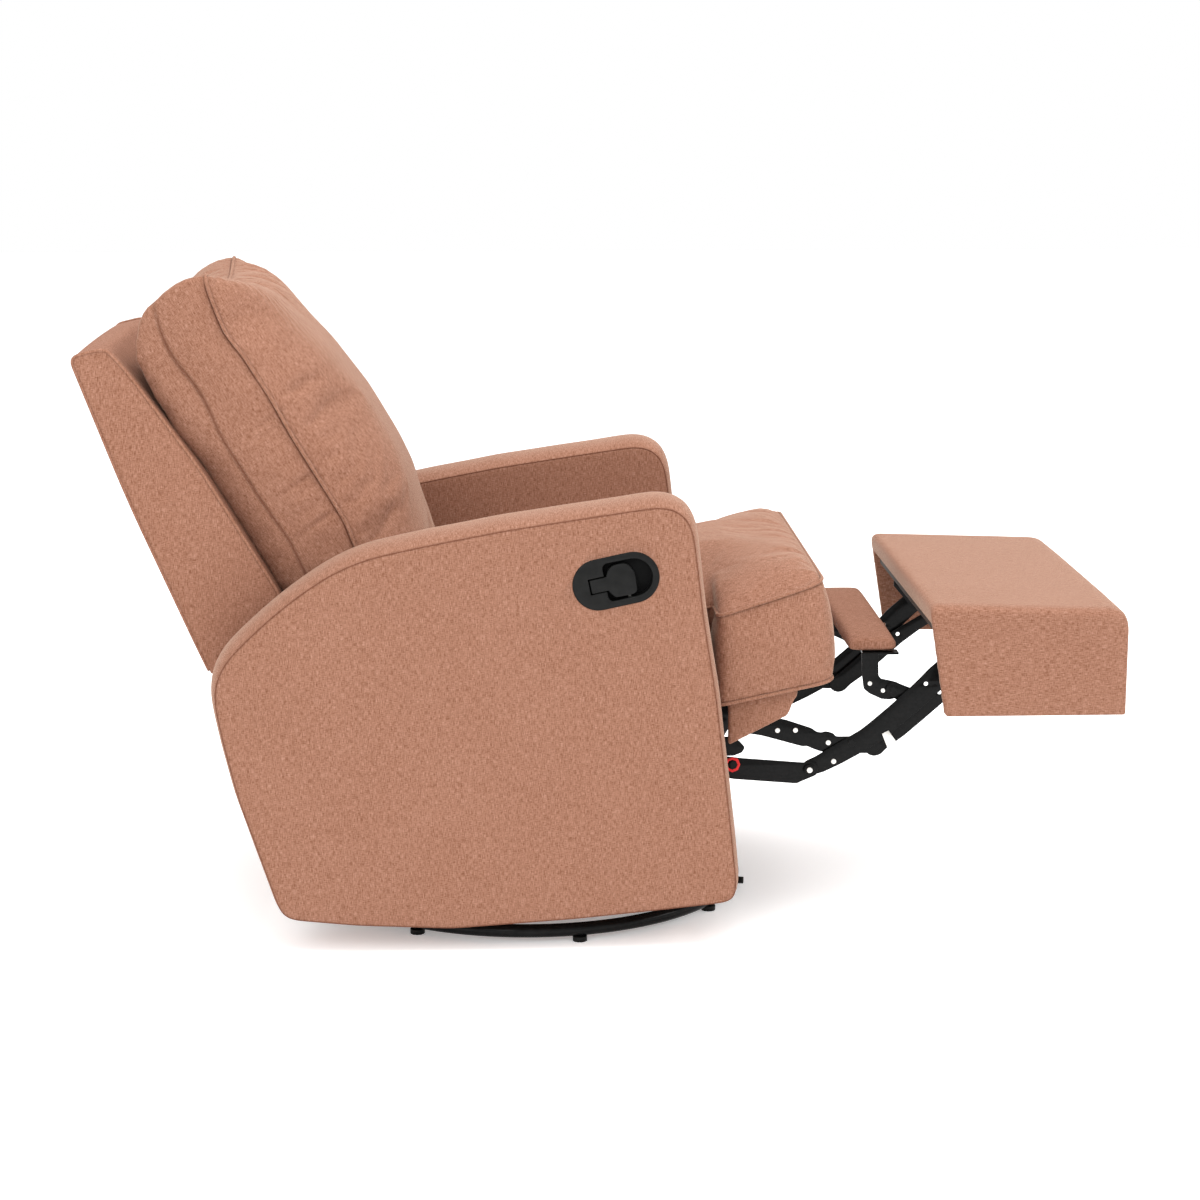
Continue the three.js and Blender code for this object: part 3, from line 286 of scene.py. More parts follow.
class Finish:
    """A material: constants on its shader's sockets, and nodes for what changes over the surface."""

    def __init__(self, name, **constants):
        self.material = bpy.data.materials.new(name)
        self.material.use_nodes = True
        self.tree = self.material.node_tree
        self.shader = self.tree.nodes["Principled BSDF"]
        for socket, value in constants.items():
            self.shader.inputs[socket.replace("_", " ")].default_value = value

    def node(self, kind, settings=None, inputs=None, output=0):
        node = self.tree.nodes.new(kind)
        for setting, value in (settings or {}).items():
            setattr(node, setting, value)
        for socket, value in (inputs or {}).items():
            self.feed(node.inputs[socket], value)
        return Value(self, node.outputs[output])

    def feed(self, socket, value):
        if isinstance(value, Value):
            self.tree.links.new(value.socket, socket)
        else:
            socket.default_value = value

    def set(self, **links):
        for socket, value in links.items():
            self.feed(self.shader.inputs[socket.replace("_", " ")], value)
        return self

    def math(self, operation, *values):
        return self.node("ShaderNodeMath", {"operation": operation}, dict(enumerate(values)))

    def noise(self, vector, cells, detail=2.0, roughness=0.5):
        """Noise with so many cells a metre along each axis of the vector."""
        stretched = self.node("ShaderNodeVectorMath", {"operation": "MULTIPLY"}, {0: vector, 1: cells})
        inputs = {"Vector": stretched, "Scale": 1.0, "Detail": detail, "Roughness": roughness}
        return self.node("ShaderNodeTexNoise", {}, inputs)

    def ramp(self, value, *stops):
        tone = self.node("ShaderNodeValToRGB", inputs={0: value})
        elements = tone.socket.node.color_ramp.elements
        while len(elements) < len(stops):
            elements.new(0.5)
        for element, (place, colour) in zip(elements, stops):
            element.position, element.color = place, (*colour, 1)
        return tone

    def blend(self, factor, first, second):
        return self.node("ShaderNodeMix", {"data_type": "RGBA"}, {0: factor, 6: first, 7: second}, output=2)

    def spot(self):
        """The place on the piece, in metres."""
        return self.node("ShaderNodeTexCoord", output=3)

    def bump(self, height, distance, strength):
        return self.node("ShaderNodeBump", {}, {"Height": height, "Distance": distance, "Strength": strength})


def woven_cloth(name, dark, middle, light, shade, sheen=0.34):
    """Heathered weave: slubs along the warp, a fainter weft, pale and dark flecks, and painted shade along the
    seams.
    """
    cloth = Finish(name, Roughness=0.92, Specular_IOR_Level=0.14, Sheen_Weight=sheen, Sheen_Roughness=0.32,
                   Sheen_Tint=(1, 0.82, 0.66, 1))
    weave = cloth.node("ShaderNodeUVMap", {"uv_map": "weave"})
    warp, weft, flecks, slubs = [cloth.noise(weave, (u, v, 1.0), 2.0, 0.6) for u, v in (
        (1200.0, 120.0), (160.0, 1100.0), (560.0, 46.0), (170.0, 22.0))]
    drift = cloth.noise(weave, (11.0, 7.0, 1.0))
    heather = warp * 0.43 + weft * 0.36 + flecks * 0.13 + slubs * 0.05 + drift * 0.03
    colour = cloth.ramp(heather, (0.387, dark), (0.5, middle), (0.633, light))
    # Painted shade: near the seams the weave is blended towards the dark shade colour, standing in for the shadow
    # in the seam crevices
    seam_shade = cloth.node("ShaderNodeAttribute", {"attribute_name": "seam_shade"}, output=2)
    shaded_at_seams = cloth.blend(seam_shade * 0.65, colour, (*shade, 1))
    ribs = warp * 0.6 + weft * 0.45 + flecks * 0.5
    return cloth.set(Base_Color=shaded_at_seams, Normal=cloth.bump(ribs, 0.0012, 0.6)).material


TERRACOTTA = woven_cloth(
    "terracotta_weave",
    (0.14, 0.0525, 0.0275), (0.25, 0.118, 0.0745), (0.372, 0.205, 0.15), (0.06, 0.021, 0.011))
# A shaded copy of the weave, for the back slab, whose front face lies in the pillow's shade, and for the middle pad
# under the seat: almost no sheen and a darker seam shade make them look shaded
SHADED_TERRACOTTA = woven_cloth(
    "terracotta_weave_shaded_copy",
    (0.14, 0.052, 0.0275), (0.253, 0.118, 0.074), (0.378, 0.207, 0.15), (0.05, 0.016, 0.008), sheen=0.04)
# A dark weave for thin tubes laid in the seams: painted shadow of the seam crevices
SEAM_SHADOW = woven_cloth(
    "painted_seam_shadow", (0.10, 0.035, 0.02), (0.15, 0.058, 0.034), (0.2, 0.085, 0.052), (0.06, 0.02, 0.012))


def painted_steel(name, colour, roughness, grain):
    """Black painted steel: a thin even coat with faint dust and rub marks in its roughness."""
    steel = Finish(name, Metallic=0.0, Specular_IOR_Level=0.05, Coat_Weight=0.1, Coat_Roughness=0.1)
    spot = steel.spot()
    dust = steel.noise(spot, (grain, grain, grain), 3.0)
    rub = steel.noise(spot, (grain * 0.2, grain * 0.2, grain * 1.4), 2.0)
    tone = steel.ramp(dust * 0.7 + rub * 0.3, (0.35, colour), (0.75, tuple(c * 1.8 + 0.002 for c in colour)))
    relief = steel.bump(dust, 0.0003, 0.35)
    return steel.set(Base_Color=tone, Roughness=roughness + rub * 0.16, Normal=relief).material


BLACK_STEEL = painted_steel("black_steel", (0.003, 0.003, 0.003), 0.26, 260.0)
GLOSS_BLACK = painted_steel("gloss_black_steel", (0.004, 0.004, 0.004), 0.1, 120.0)


def moulded_plastic(name, colour, roughness):
    """Moulded plastic: a fine spark-eroded grain in the bump and a slight change in roughness."""
    plastic = Finish(name, Specular_IOR_Level=0.14)
    spot = plastic.spot()
    grain = plastic.noise(spot, (2600.0, 2600.0, 2600.0), 2.0)
    wear = plastic.noise(spot, (90.0, 90.0, 90.0), 3.0)
    tone = plastic.ramp(wear, (0.3, colour), (0.75, tuple(c * 1.5 + 0.002 for c in colour)))
    relief = plastic.bump(grain, 0.0002, 0.4)
    return plastic.set(Base_Color=tone, Roughness=roughness + wear * 0.12, Normal=relief).material


BLACK_PLASTIC = moulded_plastic("black_plastic", (0.0035, 0.0035, 0.0033), 0.34)
# A darker black for the cup floor than for the housing: painted shade in the handle's recess
CUP_SHADE_BLACK = moulded_plastic("cup_plastic_painted_shade", (0.002, 0.002, 0.002), 0.7)
RED_PLASTIC = moulded_plastic("red_plastic", (0.55, 0.02, 0.02), 0.3)


def bright_metal(name, colour, roughness):
    """Plated metal: fine brush marks and faint cloudy spots."""
    metal = Finish(name, Metallic=1.0)
    spot = metal.spot()
    brush = metal.noise(spot, (300.0, 300.0, 2500.0), 2.0)
    cloud = metal.noise(spot, (160.0, 160.0, 160.0), 2.0)
    tone = metal.ramp(cloud, (0.3, tuple(c * 0.8 for c in colour)), (0.7, colour))
    relief = metal.bump(brush, 0.0001, 0.3)
    return metal.set(Base_Color=tone, Roughness=roughness + brush * 0.15, Normal=relief).material


NICKEL = bright_metal("bright_steel", (0.72, 0.70, 0.66), 0.22)


def sawn_timber(name):
    """Plywood in near-black tones: growth bands drawn out along the board, with fine open grain."""
    wood = Finish(name, Roughness=0.75)
    spot = wood.spot()
    bands = wood.noise(spot, (12.0, 1.5, 60.0), 4.0, 0.6)
    grain = wood.noise(spot, (400.0, 12.0, 400.0), 3.0)
    tone = wood.ramp(bands * 0.7 + grain * 0.3, (0.3, (0.02, 0.012, 0.008)), (0.7, (0.045, 0.028, 0.018)))
    return wood.set(Base_Color=tone, Normal=wood.bump(grain, 0.0006, 0.5)).material


TIMBER = sawn_timber("sawn_timber")


def finish(piece, material, slot, body, *nodes):
    """A piece gets its material, rides on its body and stands for the nodes named. Its slot is not used."""
    piece.data.materials.clear()
    piece.data.materials.append(material)
    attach(piece, body)
    if nodes:
        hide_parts(*nodes)
    return piece


def welt(name, path, radius, across, along, cloth, body, closed=True):
    """A piping along a seam, or a dark tube in a seam that paints the shadow there, woven and riding like the cloth
    beside it.
    """
    return finish(weave_by_side(tube(name, path, radius, closed), across, along), cloth, "upholstery", body)


# Arms
ARM_CORNERS = [
    (-366.5, 54.5), (-258, 43.5), (-120, 37.5), (59, 49.5), (174, 60.5), (293, 73), (292.8, 105), (279.6, 226),
    (262, 375.5), (243, 493), (222, 663), (38, 636), (-47, 623), (-147, 604), (-266, 579), (-370, 507), (-464, 413),
    (-444, 309), (-426, 235)]
ARM_RADII = [11, 0, 0, 0, 0, 8, 0, 0, 0, 0, 55, 0, 0, 0, 98, 78, 65, 0, 0]


def ring_at(flat, depth):
    """An outline of the side view becomes a ring of places at one depth across the chair."""
    return np.stack([flat[:, 0], np.full(len(flat), float(depth)), flat[:, 1]], 1)


def arm_rings(sign, columns=420):
    """Rings of an arm's skin from its inner face out.

    The boxing swells by 12 (1 - |2t - 1|^2.6)^0.8, and both panels dip at their seams and puff behind them.
    """
    outline = eased(resampled(rounded_corners(ARM_CORNERS, ARM_RADII), columns), 2.2)
    normal = outward(outline)
    middle = (outline.min(0) + outline.max(0)) / 2
    sides = np.where(normal[:, 0] > 0, 0.2, -0.35) * normal[:, 0]
    weight = np.clip(0.45 + 0.55 * normal[:, 1] + sides, 0, 1)[:, None]
    along = arc_lengths(outline)
    ripple = np.sin(along / 37.0) * 0.5 + np.sin(along / 17.0 + 1.3) * 0.3 + np.sin(along / 61.0 + 0.4) * 0.6
    shares, insets = (0.03, 0.25, 0.5, 0.72, 0.86, 0.94), (9, 5, 2.5, 1.2)
    rings = [ring_at(middle + (outline - middle) * share, ARM_INNER - 0.2) for share in shares]
    rings += [ring_at(outline - normal * inset, ARM_INNER + 1.6 * np.exp(-inset / 2.0)) for inset in insets]
    for t in (0, 0.012, 0.03, 0.06, 0.11, 0.18, 0.27, 0.38, 0.5, 0.62, 0.73, 0.82, 0.89, 0.94, 0.97, 0.988, 1):
        swell = 12 * (1 - abs(2 * t - 1) ** 2.6) ** 0.8
        body = swell + np.sin(np.pi * t) * ripple * 0.55
        depth = ARM_INNER + 2 + t * (ARM_FACE - ARM_INNER - 3.4)
        rings.append(ring_at(outline + normal * body[:, None] * weight, depth))
    for inset in insets[::-1]:
        rings.append(ring_at(outline - normal * inset, ARM_FACE + 1.3 - 2.6 * np.exp(-inset / 2.2)))
    for share in shares[::-1]:
        rings.append(ring_at(middle + (outline - middle) * share, ARM_FACE + 1.6 + 0.4 * (1 - share)))
    rings = np.array(rings)
    rings[..., 1] *= sign
    return rings, outline, normal


def padded_arm(side, sign):
    """An arm's skin, with a dark tube sunk along each of its two seams that paints the shadow in them."""
    rings, outline, normal = arm_rings(sign)
    arm = shell(f"arm_cover_{side}", rings)
    outer = ring_at(outline - normal * 0.2, sign * (ARM_FACE - 1.2))
    inner = outer * [1, 0, 1] + [0, sign * (ARM_INNER + 1.6), 0]
    paint_seam_shade(arm, [resampled(outer, 900), resampled(inner, 900)], 1.7)
    # Dark tubes in the seams: painted seam shadow
    for place, path in (("outer", outer), ("inner", inner)):
        welt(f"arm_seam_shadow_{place}_{side}", path, 0.95, (1, 0, 0), (0, 0, 1), SEAM_SHADOW, "chassis")
    return arm


# Release handle, in the bezel's own tilted length and height
BEZEL_MIDDLE = np.array([117.0, 551.0])
BEZEL_TURN = math.radians(12)


def bezel_places(points):
    """Places on the tilted bezel, in its own length and height, become places in the side view."""
    cos, sin = math.cos(BEZEL_TURN), math.sin(BEZEL_TURN)
    points = np.asarray(points, float)
    return BEZEL_MIDDLE + points @ np.array([[cos, sin], [-sin, cos]])


def arc(centre, radius, start, end, steps=24):
    """Points on a circle from one angle to another, in degrees."""
    turn = np.radians(np.linspace(start, end, steps))
    return np.asarray(centre, float) + radius * np.stack([np.cos(turn), np.sin(turn)], 1)


def stadium(length, height, steps=28):
    """A stadium outline: two half circles of the height's radius, joined by straight sides."""
    reach = (length - height) / 2
    ends = ((reach, -90, 90), (-reach, 90, 270))
    return np.vstack([arc((place, 0), height / 2, start, end, steps) for place, start, end in ends])


def prism(name, flat, y0, y1):
    """A block through an outline of the side view, from y0 to y1."""
    return shell(name, [ring_at(np.asarray(flat, float), y) for y in (y0, y1)])


def carve(piece, *cutters):
    """What the cutters hold is taken out of a piece."""
    for cutter in cutters:
        modified(piece, "BOOLEAN", operation="DIFFERENCE", solver="EXACT", object=cutter)
        bpy.data.objects.remove(cutter)
    return piece


def wound(path, left):
    """A closed outline in the order asked: anticlockwise where left is true, by the sign of its area."""
    path = np.asarray(path, float)
    area = np.sum(path[:, 0] * np.roll(path[:, 1], -1) - np.roll(path[:, 0], -1) * path[:, 1])
    return path if (area > 0) == left else path[::-1]


def plate(name, outline, holes, y0, y1, rim=0.4, steps=1):
    """A plate through an outline and holes of the side view, between two depths, its rims rounded by rim."""
    flat = bpy.data.curves.new(name, "CURVE")
    flat.dimensions, flat.fill_mode = "2D", "BOTH"
    flat.extrude = (abs(y1 - y0) / 2 - rim) * MM
    flat.bevel_depth, flat.bevel_resolution, flat.offset = rim * MM, steps, -rim * MM
    for path in [wound(outline, True)] + [wound(hole, False) for hole in holes]:
        spline = flat.splines.new("POLY")
        spline.points.add(len(path) - 1)
        spots = np.column_stack([path * MM, np.zeros(len(path)), np.ones(len(path))])
        spline.points.foreach_set("co", spots.astype(np.float32).ravel())
        spline.use_cyclic_u = True
    holder = placed(name, flat)
    graph = bpy.context.evaluated_depsgraph_get()
    mesh = bpy.data.meshes.new_from_object(holder.evaluated_get(graph))
    bpy.data.objects.remove(holder)
    bpy.data.curves.remove(flat)
    mesh.name = name
    piece = placed(name, mesh)
    spots = coordinates(piece)
    middle = (y0 + y1) / 2 * MM
    set_coordinates(piece, np.stack([spots[:, 0] + SWIVEL_X, spots[:, 2] + middle, spots[:, 1]], 1))
    turned_out(piece)
    smooth(mesh)
    return sharp_edges(piece, 50)


def stud(name, place, radius, y0, y1, crown=0.6, sides=28):
    """A pin or rivet head across the chair: a short round bar whose outer rim is rounded by crown."""
    rings = [(radius, y0)]
    step = 1 if y1 > y0 else -1
    for turn in np.linspace(0, np.pi / 2, 5):
        rings.append((radius - crown + crown * np.cos(turn), y1 - step * crown * (1 - np.sin(turn))))
    return sharp_edges(shell(name, [ring_at(arc(place, r, 0, 360, sides + 1)[:-1], y) for r, y in rings]), 50)


for side, sign in SIDES:
    arm = padded_arm(side, sign)
    if side == "right":
        carve(arm, prism("pocket_cut", bezel_places(stadium(125.6, 74.6)), -380, -341.7))
    weave_by_side(arm, (1, 0, 0), (0, 0, 1))
    finish(arm, TERRACOTTA, "upholstery", "chassis", f"arm_{side}")

FINGER_WELL = np.vstack([
    arc((25.5, 0), 27.5, -90, 90), arc((-7.5, 20), 8, 90, 180, 8),
    [(-15.5, 10.3), (-39, 10.3), (-39, -12.6), (-15.5, -12.6)], arc((-7.5, -20), 8, 180, 270, 8)])
LEVER_FACE = rounded_corners(
    [(-37, -11.5), (-13, -11.5), (-12, -14), (-5, -23.5), (21, -24), (27, -20), (29, 6), (22, 20), (16, 23),
     (0, 23.5), (-9, 17), (-12, 10), (-13, 8.5), (-37, 8.5)], [2, 0.5, 3, 4, 5, 5, 6, 5, 4, 5, 4, 2, 0.5, 2], 6)
housing = plate(
    "handle_housing", bezel_places(stadium(125.4, 74.4)), [bezel_places(FINGER_WELL)], -364, -346, 1.6, 3)
finish(housing, BLACK_PLASTIC, "black_plastic", "chassis", "handle_bezel")
# The cup floor takes the darker black: painted shade in the recess
cup_floor = plate("handle_cup_floor", bezel_places(stadium(122, 71)), [], -346.2, -342.2, 0.5)
finish(cup_floor, CUP_SHADE_BLACK, "black_plastic", "chassis")
lever = plate("handle_lever_face", bezel_places(LEVER_FACE), [], -363.4, -354.5, 1.3, 3)
finish(lever, BLACK_PLASTIC, "black_plastic", "release_lever", "handle_lever")
screw = stud("handle_screw", bezel_places([(15, -26.2)])[0], 2.4, -346.2, -349.5)
finish(screw, NICKEL, "bright_steel", "chassis")


# Soft forms: a closed skin is remeshed, held along its seams and blown up from inside
FRAMES = 20
PRESSURE = 4.0
HOLD_WIDTH = 6.0
STATION = 12.0


def remeshed(piece, voxel):
    """An even skin of quads over a closed piece, voxel millimetres a side."""
    return modified(piece, "REMESH", mode="VOXEL", voxel_size=voxel * MM, use_smooth_shade=True)


def softened(piece, passes):
    """Each vertex moves half way to the mean of its neighbours, then a little back, as often as passes says."""
    a, b = read(piece.data.edges, "vertices", 2, int).T
    spots = coordinates(piece)
    count = np.bincount(a, minlength=len(spots)) + np.bincount(b, minlength=len(spots))
    for step in range(passes * 2):
        total = np.stack([
            np.bincount(a, spots[b, k], len(spots)) + np.bincount(b, spots[a, k], len(spots)) for k in range(3)], 1)
        pull = 0.5 if step % 2 == 0 else -0.51
        spots = spots + pull * (total / count[:, None] - spots)
    set_coordinates(piece, spots)
    return piece


def blown_up(piece, seams, cap, spare):
    """Cloth under pressure, held at its seams and longer by spare; no vertex moves more than cap millimetres."""
    start = coordinates(piece)
    held = np.clip(1.6 - near(start, np.vstack(seams)) / (HOLD_WIDTH * MM), 0, 1)
    group = piece.vertex_groups.new(name="seam")
    for level in np.unique(np.round(held, 1)):
        members = np.flatnonzero(np.round(held, 1) == level)
        if level > 0:
            group.add(members.tolist(), float(level), "REPLACE")
    cloth = piece.modifiers.new("cloth", "CLOTH")
    settings = {"quality": 4, "mass": 0.3, "tension_stiffness": 12, "compression_stiffness": 12,
                "shear_stiffness": 4, "bending_stiffness": 0.3, "use_pressure": True,
                "uniform_pressure_force": PRESSURE, "shrink_min": -spare, "vertex_group_mass": "seam"}
    for name, value in settings.items():
        setattr(cloth.settings, name, value)
    cloth.settings.effector_weights.gravity = 0
    cloth.collision_settings.use_collision = False
    cloth.point_cache.frame_start, cloth.point_cache.frame_end = 1, FRAMES
    scene = bpy.context.scene
    for step in range(FRAMES):
        scene.frame_set(step + 1)
    graph = bpy.context.evaluated_depsgraph_get()
    posed = piece.evaluated_get(graph)
    after = read(posed.to_mesh().vertices, "co", 3, np.float32).astype(float)
    posed.to_mesh_clear()
    piece.modifiers.clear()
    scene.frame_set(1)
    move = after - start
    size = np.linalg.norm(move, axis=1, keepdims=True)
    move *= np.minimum(1, cap * MM / np.maximum(size, 1e-9))
    set_coordinates(piece, start + move)
    piece.vertex_groups.clear()
    return piece


def finer(piece):
    """One level of subdivision, made part of the mesh."""
    return modified(piece, "SUBSURF", levels=1, render_levels=1)


def fitted_height(along, height, wanted, members, low, high):
    """Factor at each place that brings the greatest height at its station to the one wanted, evened out."""
    stations = np.arange(low, high + 1, STATION)
    index = np.clip(np.round((along - low) / STATION).astype(int), 0, len(stations) - 1)
    reached = np.zeros(len(stations))
    np.maximum.at(reached, index[members], height[members])
    ratio = np.clip(wanted(stations) / np.maximum(reached, 4), 0.6, 1.6)
    ratio = np.convolve(np.pad(ratio, 2, mode="edge"), [0.1, 0.2, 0.4, 0.2, 0.1], "valid")
    return np.interp(along, stations, ratio)


def drawn(pairs):
    """A line drawn as pairs becomes a function: the second number at any first one."""
    at, value = np.array(pairs, float).T
    return lambda place: np.interp(place, at, value)


# Back cushion: s runs up along it, n out of its front, and its lines are drawn as pairs (s, n)
LEAN = math.radians(27.7)
CUSHION_UP = np.array([-math.sin(LEAN), 0, math.cos(LEAN)])
CUSHION_OUT = np.array([math.cos(LEAN), 0, math.sin(LEAN)])
CUSHION_HALF, CUSHION_LOW, CUSHION_HIGH, CUSHION_DIP, CUSHION_SLANT = 234.0, 480.0, 1087.0, 34.0, 3.5
rear_seam = drawn([
    (480, -44), (644, -43), (681, -39), (760, -48), (867, -53), (919, -48), (952, -49), (985, -56), (1018, -58),
    (1055, -51), (1089, -39)])
front_seam = drawn([
    (480, 38), (644, 40), (666, 45), (712, 43), (822, 37), (888, 37), (922, 34), (958, 32), (981, 27), (996, 25),
    (1013, 27), (1043, 31), (1066, 35), (1089, 42)])
rear_line = drawn([
    (480, -84), (625, -91), (636, -94), (729, -99), (891, -109), (965, -111), (1021, -107), (1036, -100),
    (1067, -77), (1089, -50)])
slab_line = drawn([(480, -84), (629, -91), (839, -101.5), (1057, -136)])
crown_line = drawn([
    (480, 110), (576, 132), (616, 141), (664, 149), (719, 152), (779, 149), (837, 144), (908, 131.5), (942, 121),
    (974, 111), (1004, 103.5), (1037, 90), (1069, 62), (1100, 44)])
# Pinched folds of its sides: height s, half width and depth
PINCHES = [(853, 34, 4.2), (840, 26, 2.6), (752, 30, 4.0), (739, 24, 2.8), (690, 28, 4.2), (576, 22, 7.0)]


def cushion_spot(a, b, swell=0.0):
    """Place on the cushion's outline plan: its width narrows to 97 % at mid height.

    Its top edge dips between the corners and sits 7 lower at the left.
    """
    y = (CUSHION_HALF + swell) * a * (1 - 0.03 * (1 - b * b))
    dip = np.where(b > 0, (CUSHION_DIP * (1 - a * a) + CUSHION_SLANT * (1 + a)) * np.abs(b) ** 4, 0)
    middle, half = (CUSHION_HIGH + CUSHION_LOW) / 2, (CUSHION_HIGH - CUSHION_LOW) / 2
    return y, middle + (half + swell) * b - dip


def cushion_place(a, b, depth, swell=0.0):
    """A place from the share across a, the share up b and the depth, a number or a function of the height."""
    y, up = cushion_spot(*np.broadcast_arrays(np.asarray(a, float), np.asarray(b, float)), swell)
    n = depth(up) if callable(depth) else np.broadcast_to(depth, up.shape)
    return up[..., None] * CUSHION_UP + n[..., None] * CUSHION_OUT + y[..., None] * np.array([0, 1, 0])


def cushion_edge(wide=60, up=72):
    """Shares (a, b) round the cushion's outline, its corners hardly rounded."""
    t = np.linspace(-1, 1, wide, endpoint=False)
    r = np.linspace(-1, 1, up, endpoint=False)
    a = np.concatenate([t, np.ones(up), -t, -np.ones(up)])
    b = np.concatenate([-np.ones(wide), r, np.ones(wide), -r])
    soft = eased(np.stack([a, b], 1) * 0.997, 1.1)
    return soft[:, 0], soft[:, 1]


def rest_depth(s):
    """Depth of the cushion's back: its own drawn line, or just clear of the slab behind it."""
    return np.maximum(rear_line(s), slab_line(s) + 1.5)


def back_cushion():
    """The pillow: rings from its back over the rear seam, boxing and front seam to its crowned front.

    They are blown up, and what lies ahead of the front seam is then fitted to the drawn crown.
    """
    a, b = cushion_edge()
    rings = [cushion_place(a * share, b * share, rest_depth) for share in (0.3, 0.6, 0.85, 0.955)]
    rings.append(cushion_place(a * 0.988, b * 0.988, lambda s: rest_depth(s) * 0.8 + rear_seam(s) * 0.2))
    for t, swell in ((0, 0), (0.2, 2.5), (0.5, 4), (0.8, 2.5), (1, 0)):
        rings.append(cushion_place(
            a, b, lambda s, t=t: (1 - t) * rear_seam(s) + t * front_seam(s), swell))
    for scale in (0.985, 0.96, 0.92, 0.87, 0.8, 0.7, 0.6, 0.48, 0.36, 0.24, 0.12, 0.04):
        fa, fb = a * scale, b * scale
        dome = (1 - np.abs(fa) ** 4) ** 0.75 * (1 - np.abs(fb) ** 3.2) ** 0.7
        rings.append(cushion_place(fa, fb, lambda s, dome=dome: front_seam(s) + 100 * dome))
    cushion = remeshed(shell("back_pillow", rings), 6.0)
    front = eased(resampled(cushion_place(a, b, front_seam), 700), 3.5)
    gusset = eased(resampled(cushion_place(a, b, rear_seam), 700), 3.5)
    blown_up(cushion, [front, gusset], 24, spare=0.016)
    softened(cushion, 7)
    finer(cushion)
    flat = (coordinates(cushion) - in_frame(np.zeros(3))) / MM
    s, n, y = flat @ CUSHION_UP, flat @ CUSHION_OUT, flat[:, 1]
    seam = front_seam(s)
    ahead = np.maximum(n - seam, 0)
    factor = fitted_height(
        s, ahead, lambda at: crown_line(at) - front_seam(at), n > seam, CUSHION_LOW, 1104)
    n = np.where(n > seam, seam + ahead * factor, n)
    side = y / CUSHION_HALF
    top = CUSHION_HIGH - CUSHION_DIP * (1 - np.minimum(1, side ** 2)) - CUSHION_SLANT * (1 + side)
    below = np.maximum(top - s, 0)
    gather = np.sin(y * 2 * np.pi / 15 + 1.6 * np.sin(y / 31)) * (0.6 + 0.4 * np.sin(y / 23 + 1))
    n += np.clip(ahead / 12, 0, 1) * 1.9 * np.exp(-below / 60) * gather
    fold = np.sin(s / 11 + 1.8 * np.sin(s / 47)) * np.exp(-np.abs(n - 12) / 26) + 0.8 * np.sin(s / 29 + n / 14)
    pinch = np.zeros(len(s))
    for height, reach, depth in PINCHES:
        pinch += depth * np.exp(-((s - height - 0.12 * (n - 10)) / 5.5) ** 2) * np.exp(-((n - 18) / reach) ** 2)
    y = y + np.sign(y) * np.clip((np.abs(y) - 212) / 14, 0, 1) * (fold * 0.8 - pinch)
    rear = rear_seam(s)
    boxed = np.clip((n - rear) / (seam - rear), 0, 1)
    s = s + 2 * np.sin(np.pi * boxed) * np.clip(1 - below / 24, 0, 1)
    n = np.maximum(n, rest_depth(s))
    low = np.clip((660 - flat[:, 2]) / 50, 0, 1)
    limit = CLOTH_REACH + (1 - low) * 30
    y = np.clip(y, -limit, limit)
    set_coordinates(cushion, in_frame(s[:, None] * CUSHION_UP + n[:, None] * CUSHION_OUT + y[:, None] * [0, 1, 0]))
    paint_seam_shade(cushion, [front, gusset], 3.0)
    weave_by_side(cushion, (0, 1, 0), CUSHION_UP)
    finish(cushion, TERRACOTTA, "upholstery", "back", "back_cushion")
    # The front piping is real; the front_shade and gusset tubes are dark tubes that paint the shadow along those
    # seams
    aside = np.sign(front[:, 1:2]) * [0, 1, 0]
    for name, path, radius, cloth in (
            ("front", front + 1.2 * CUSHION_OUT + aside * 1.4, 2.6, TERRACOTTA),
            ("front_shade", front - 3.0 * CUSHION_OUT + aside * 0.6, 0.9, SEAM_SHADOW), ("gusset", gusset, 1.1, SEAM_SHADOW)):
        welt(f"back_pillow_seam_tube_{name}", path, radius, (0, 1, 0), CUSHION_UP, cloth, "back")


back_cushion()

# Seat cushion
SEAT_REAR, SEAT_FRONT, SEAT_HALF, EAR_REAR, EAR_HALF = -168.0, 430.5, 236.0, 268.0, 309.0
seat_crown = drawn([
    (-180, 20), (-120, 50), (0, 64), (240, 78), (281, 71), (318, 61.5), (354, 51.5), (390, 39.5), (409, 25),
    (430, 5)])


def seat_bottom(x):
    """Height of the pad's lower seam at x."""
    return 352.5 + 0.21 * (x - EAR_REAR)


def seat_top(x):
    """Height of the pad's upper seam at x."""
    return 485.5 + 0.285 * (x - 264) + 0.00022 * (x - 264) ** 2


def seat_plan(count=420):
    """The T-shaped plan: narrow between the arms, with an ear before each arm, corners rounded."""
    half = [(SEAT_REAR, -SEAT_HALF), (EAR_REAR, -SEAT_HALF), (EAR_REAR, -EAR_HALF), (SEAT_FRONT, -EAR_HALF)]
    corners, radii = half + [(x, -y) for x, y in reversed(half)], [24, 4, 14, 30, 30, 14, 4, 24]
    return resampled(rounded_corners(corners, radii), count)


def seat_ring(plan, rise, swell):
    """Ring of the boxing: it leans back 0.112 of its height at the front and swells out by swell."""
    normal = outward(plan)
    height = seat_top(plan[:, 0]) - seat_bottom(plan[:, 0])
    ahead = np.clip((plan[:, 0] - EAR_REAR) / 60, 0, 1)
    lean = ahead * 0.112 * height * (0.5 - rise)
    x = plan[:, 0] + np.maximum(0, normal[:, 0]) * swell + lean
    y = plan[:, 1] + np.where(plan[:, 0] > EAR_REAR, normal[:, 1] * swell, 0)
    return np.stack([x, y, seat_bottom(x) + rise * height], 1)


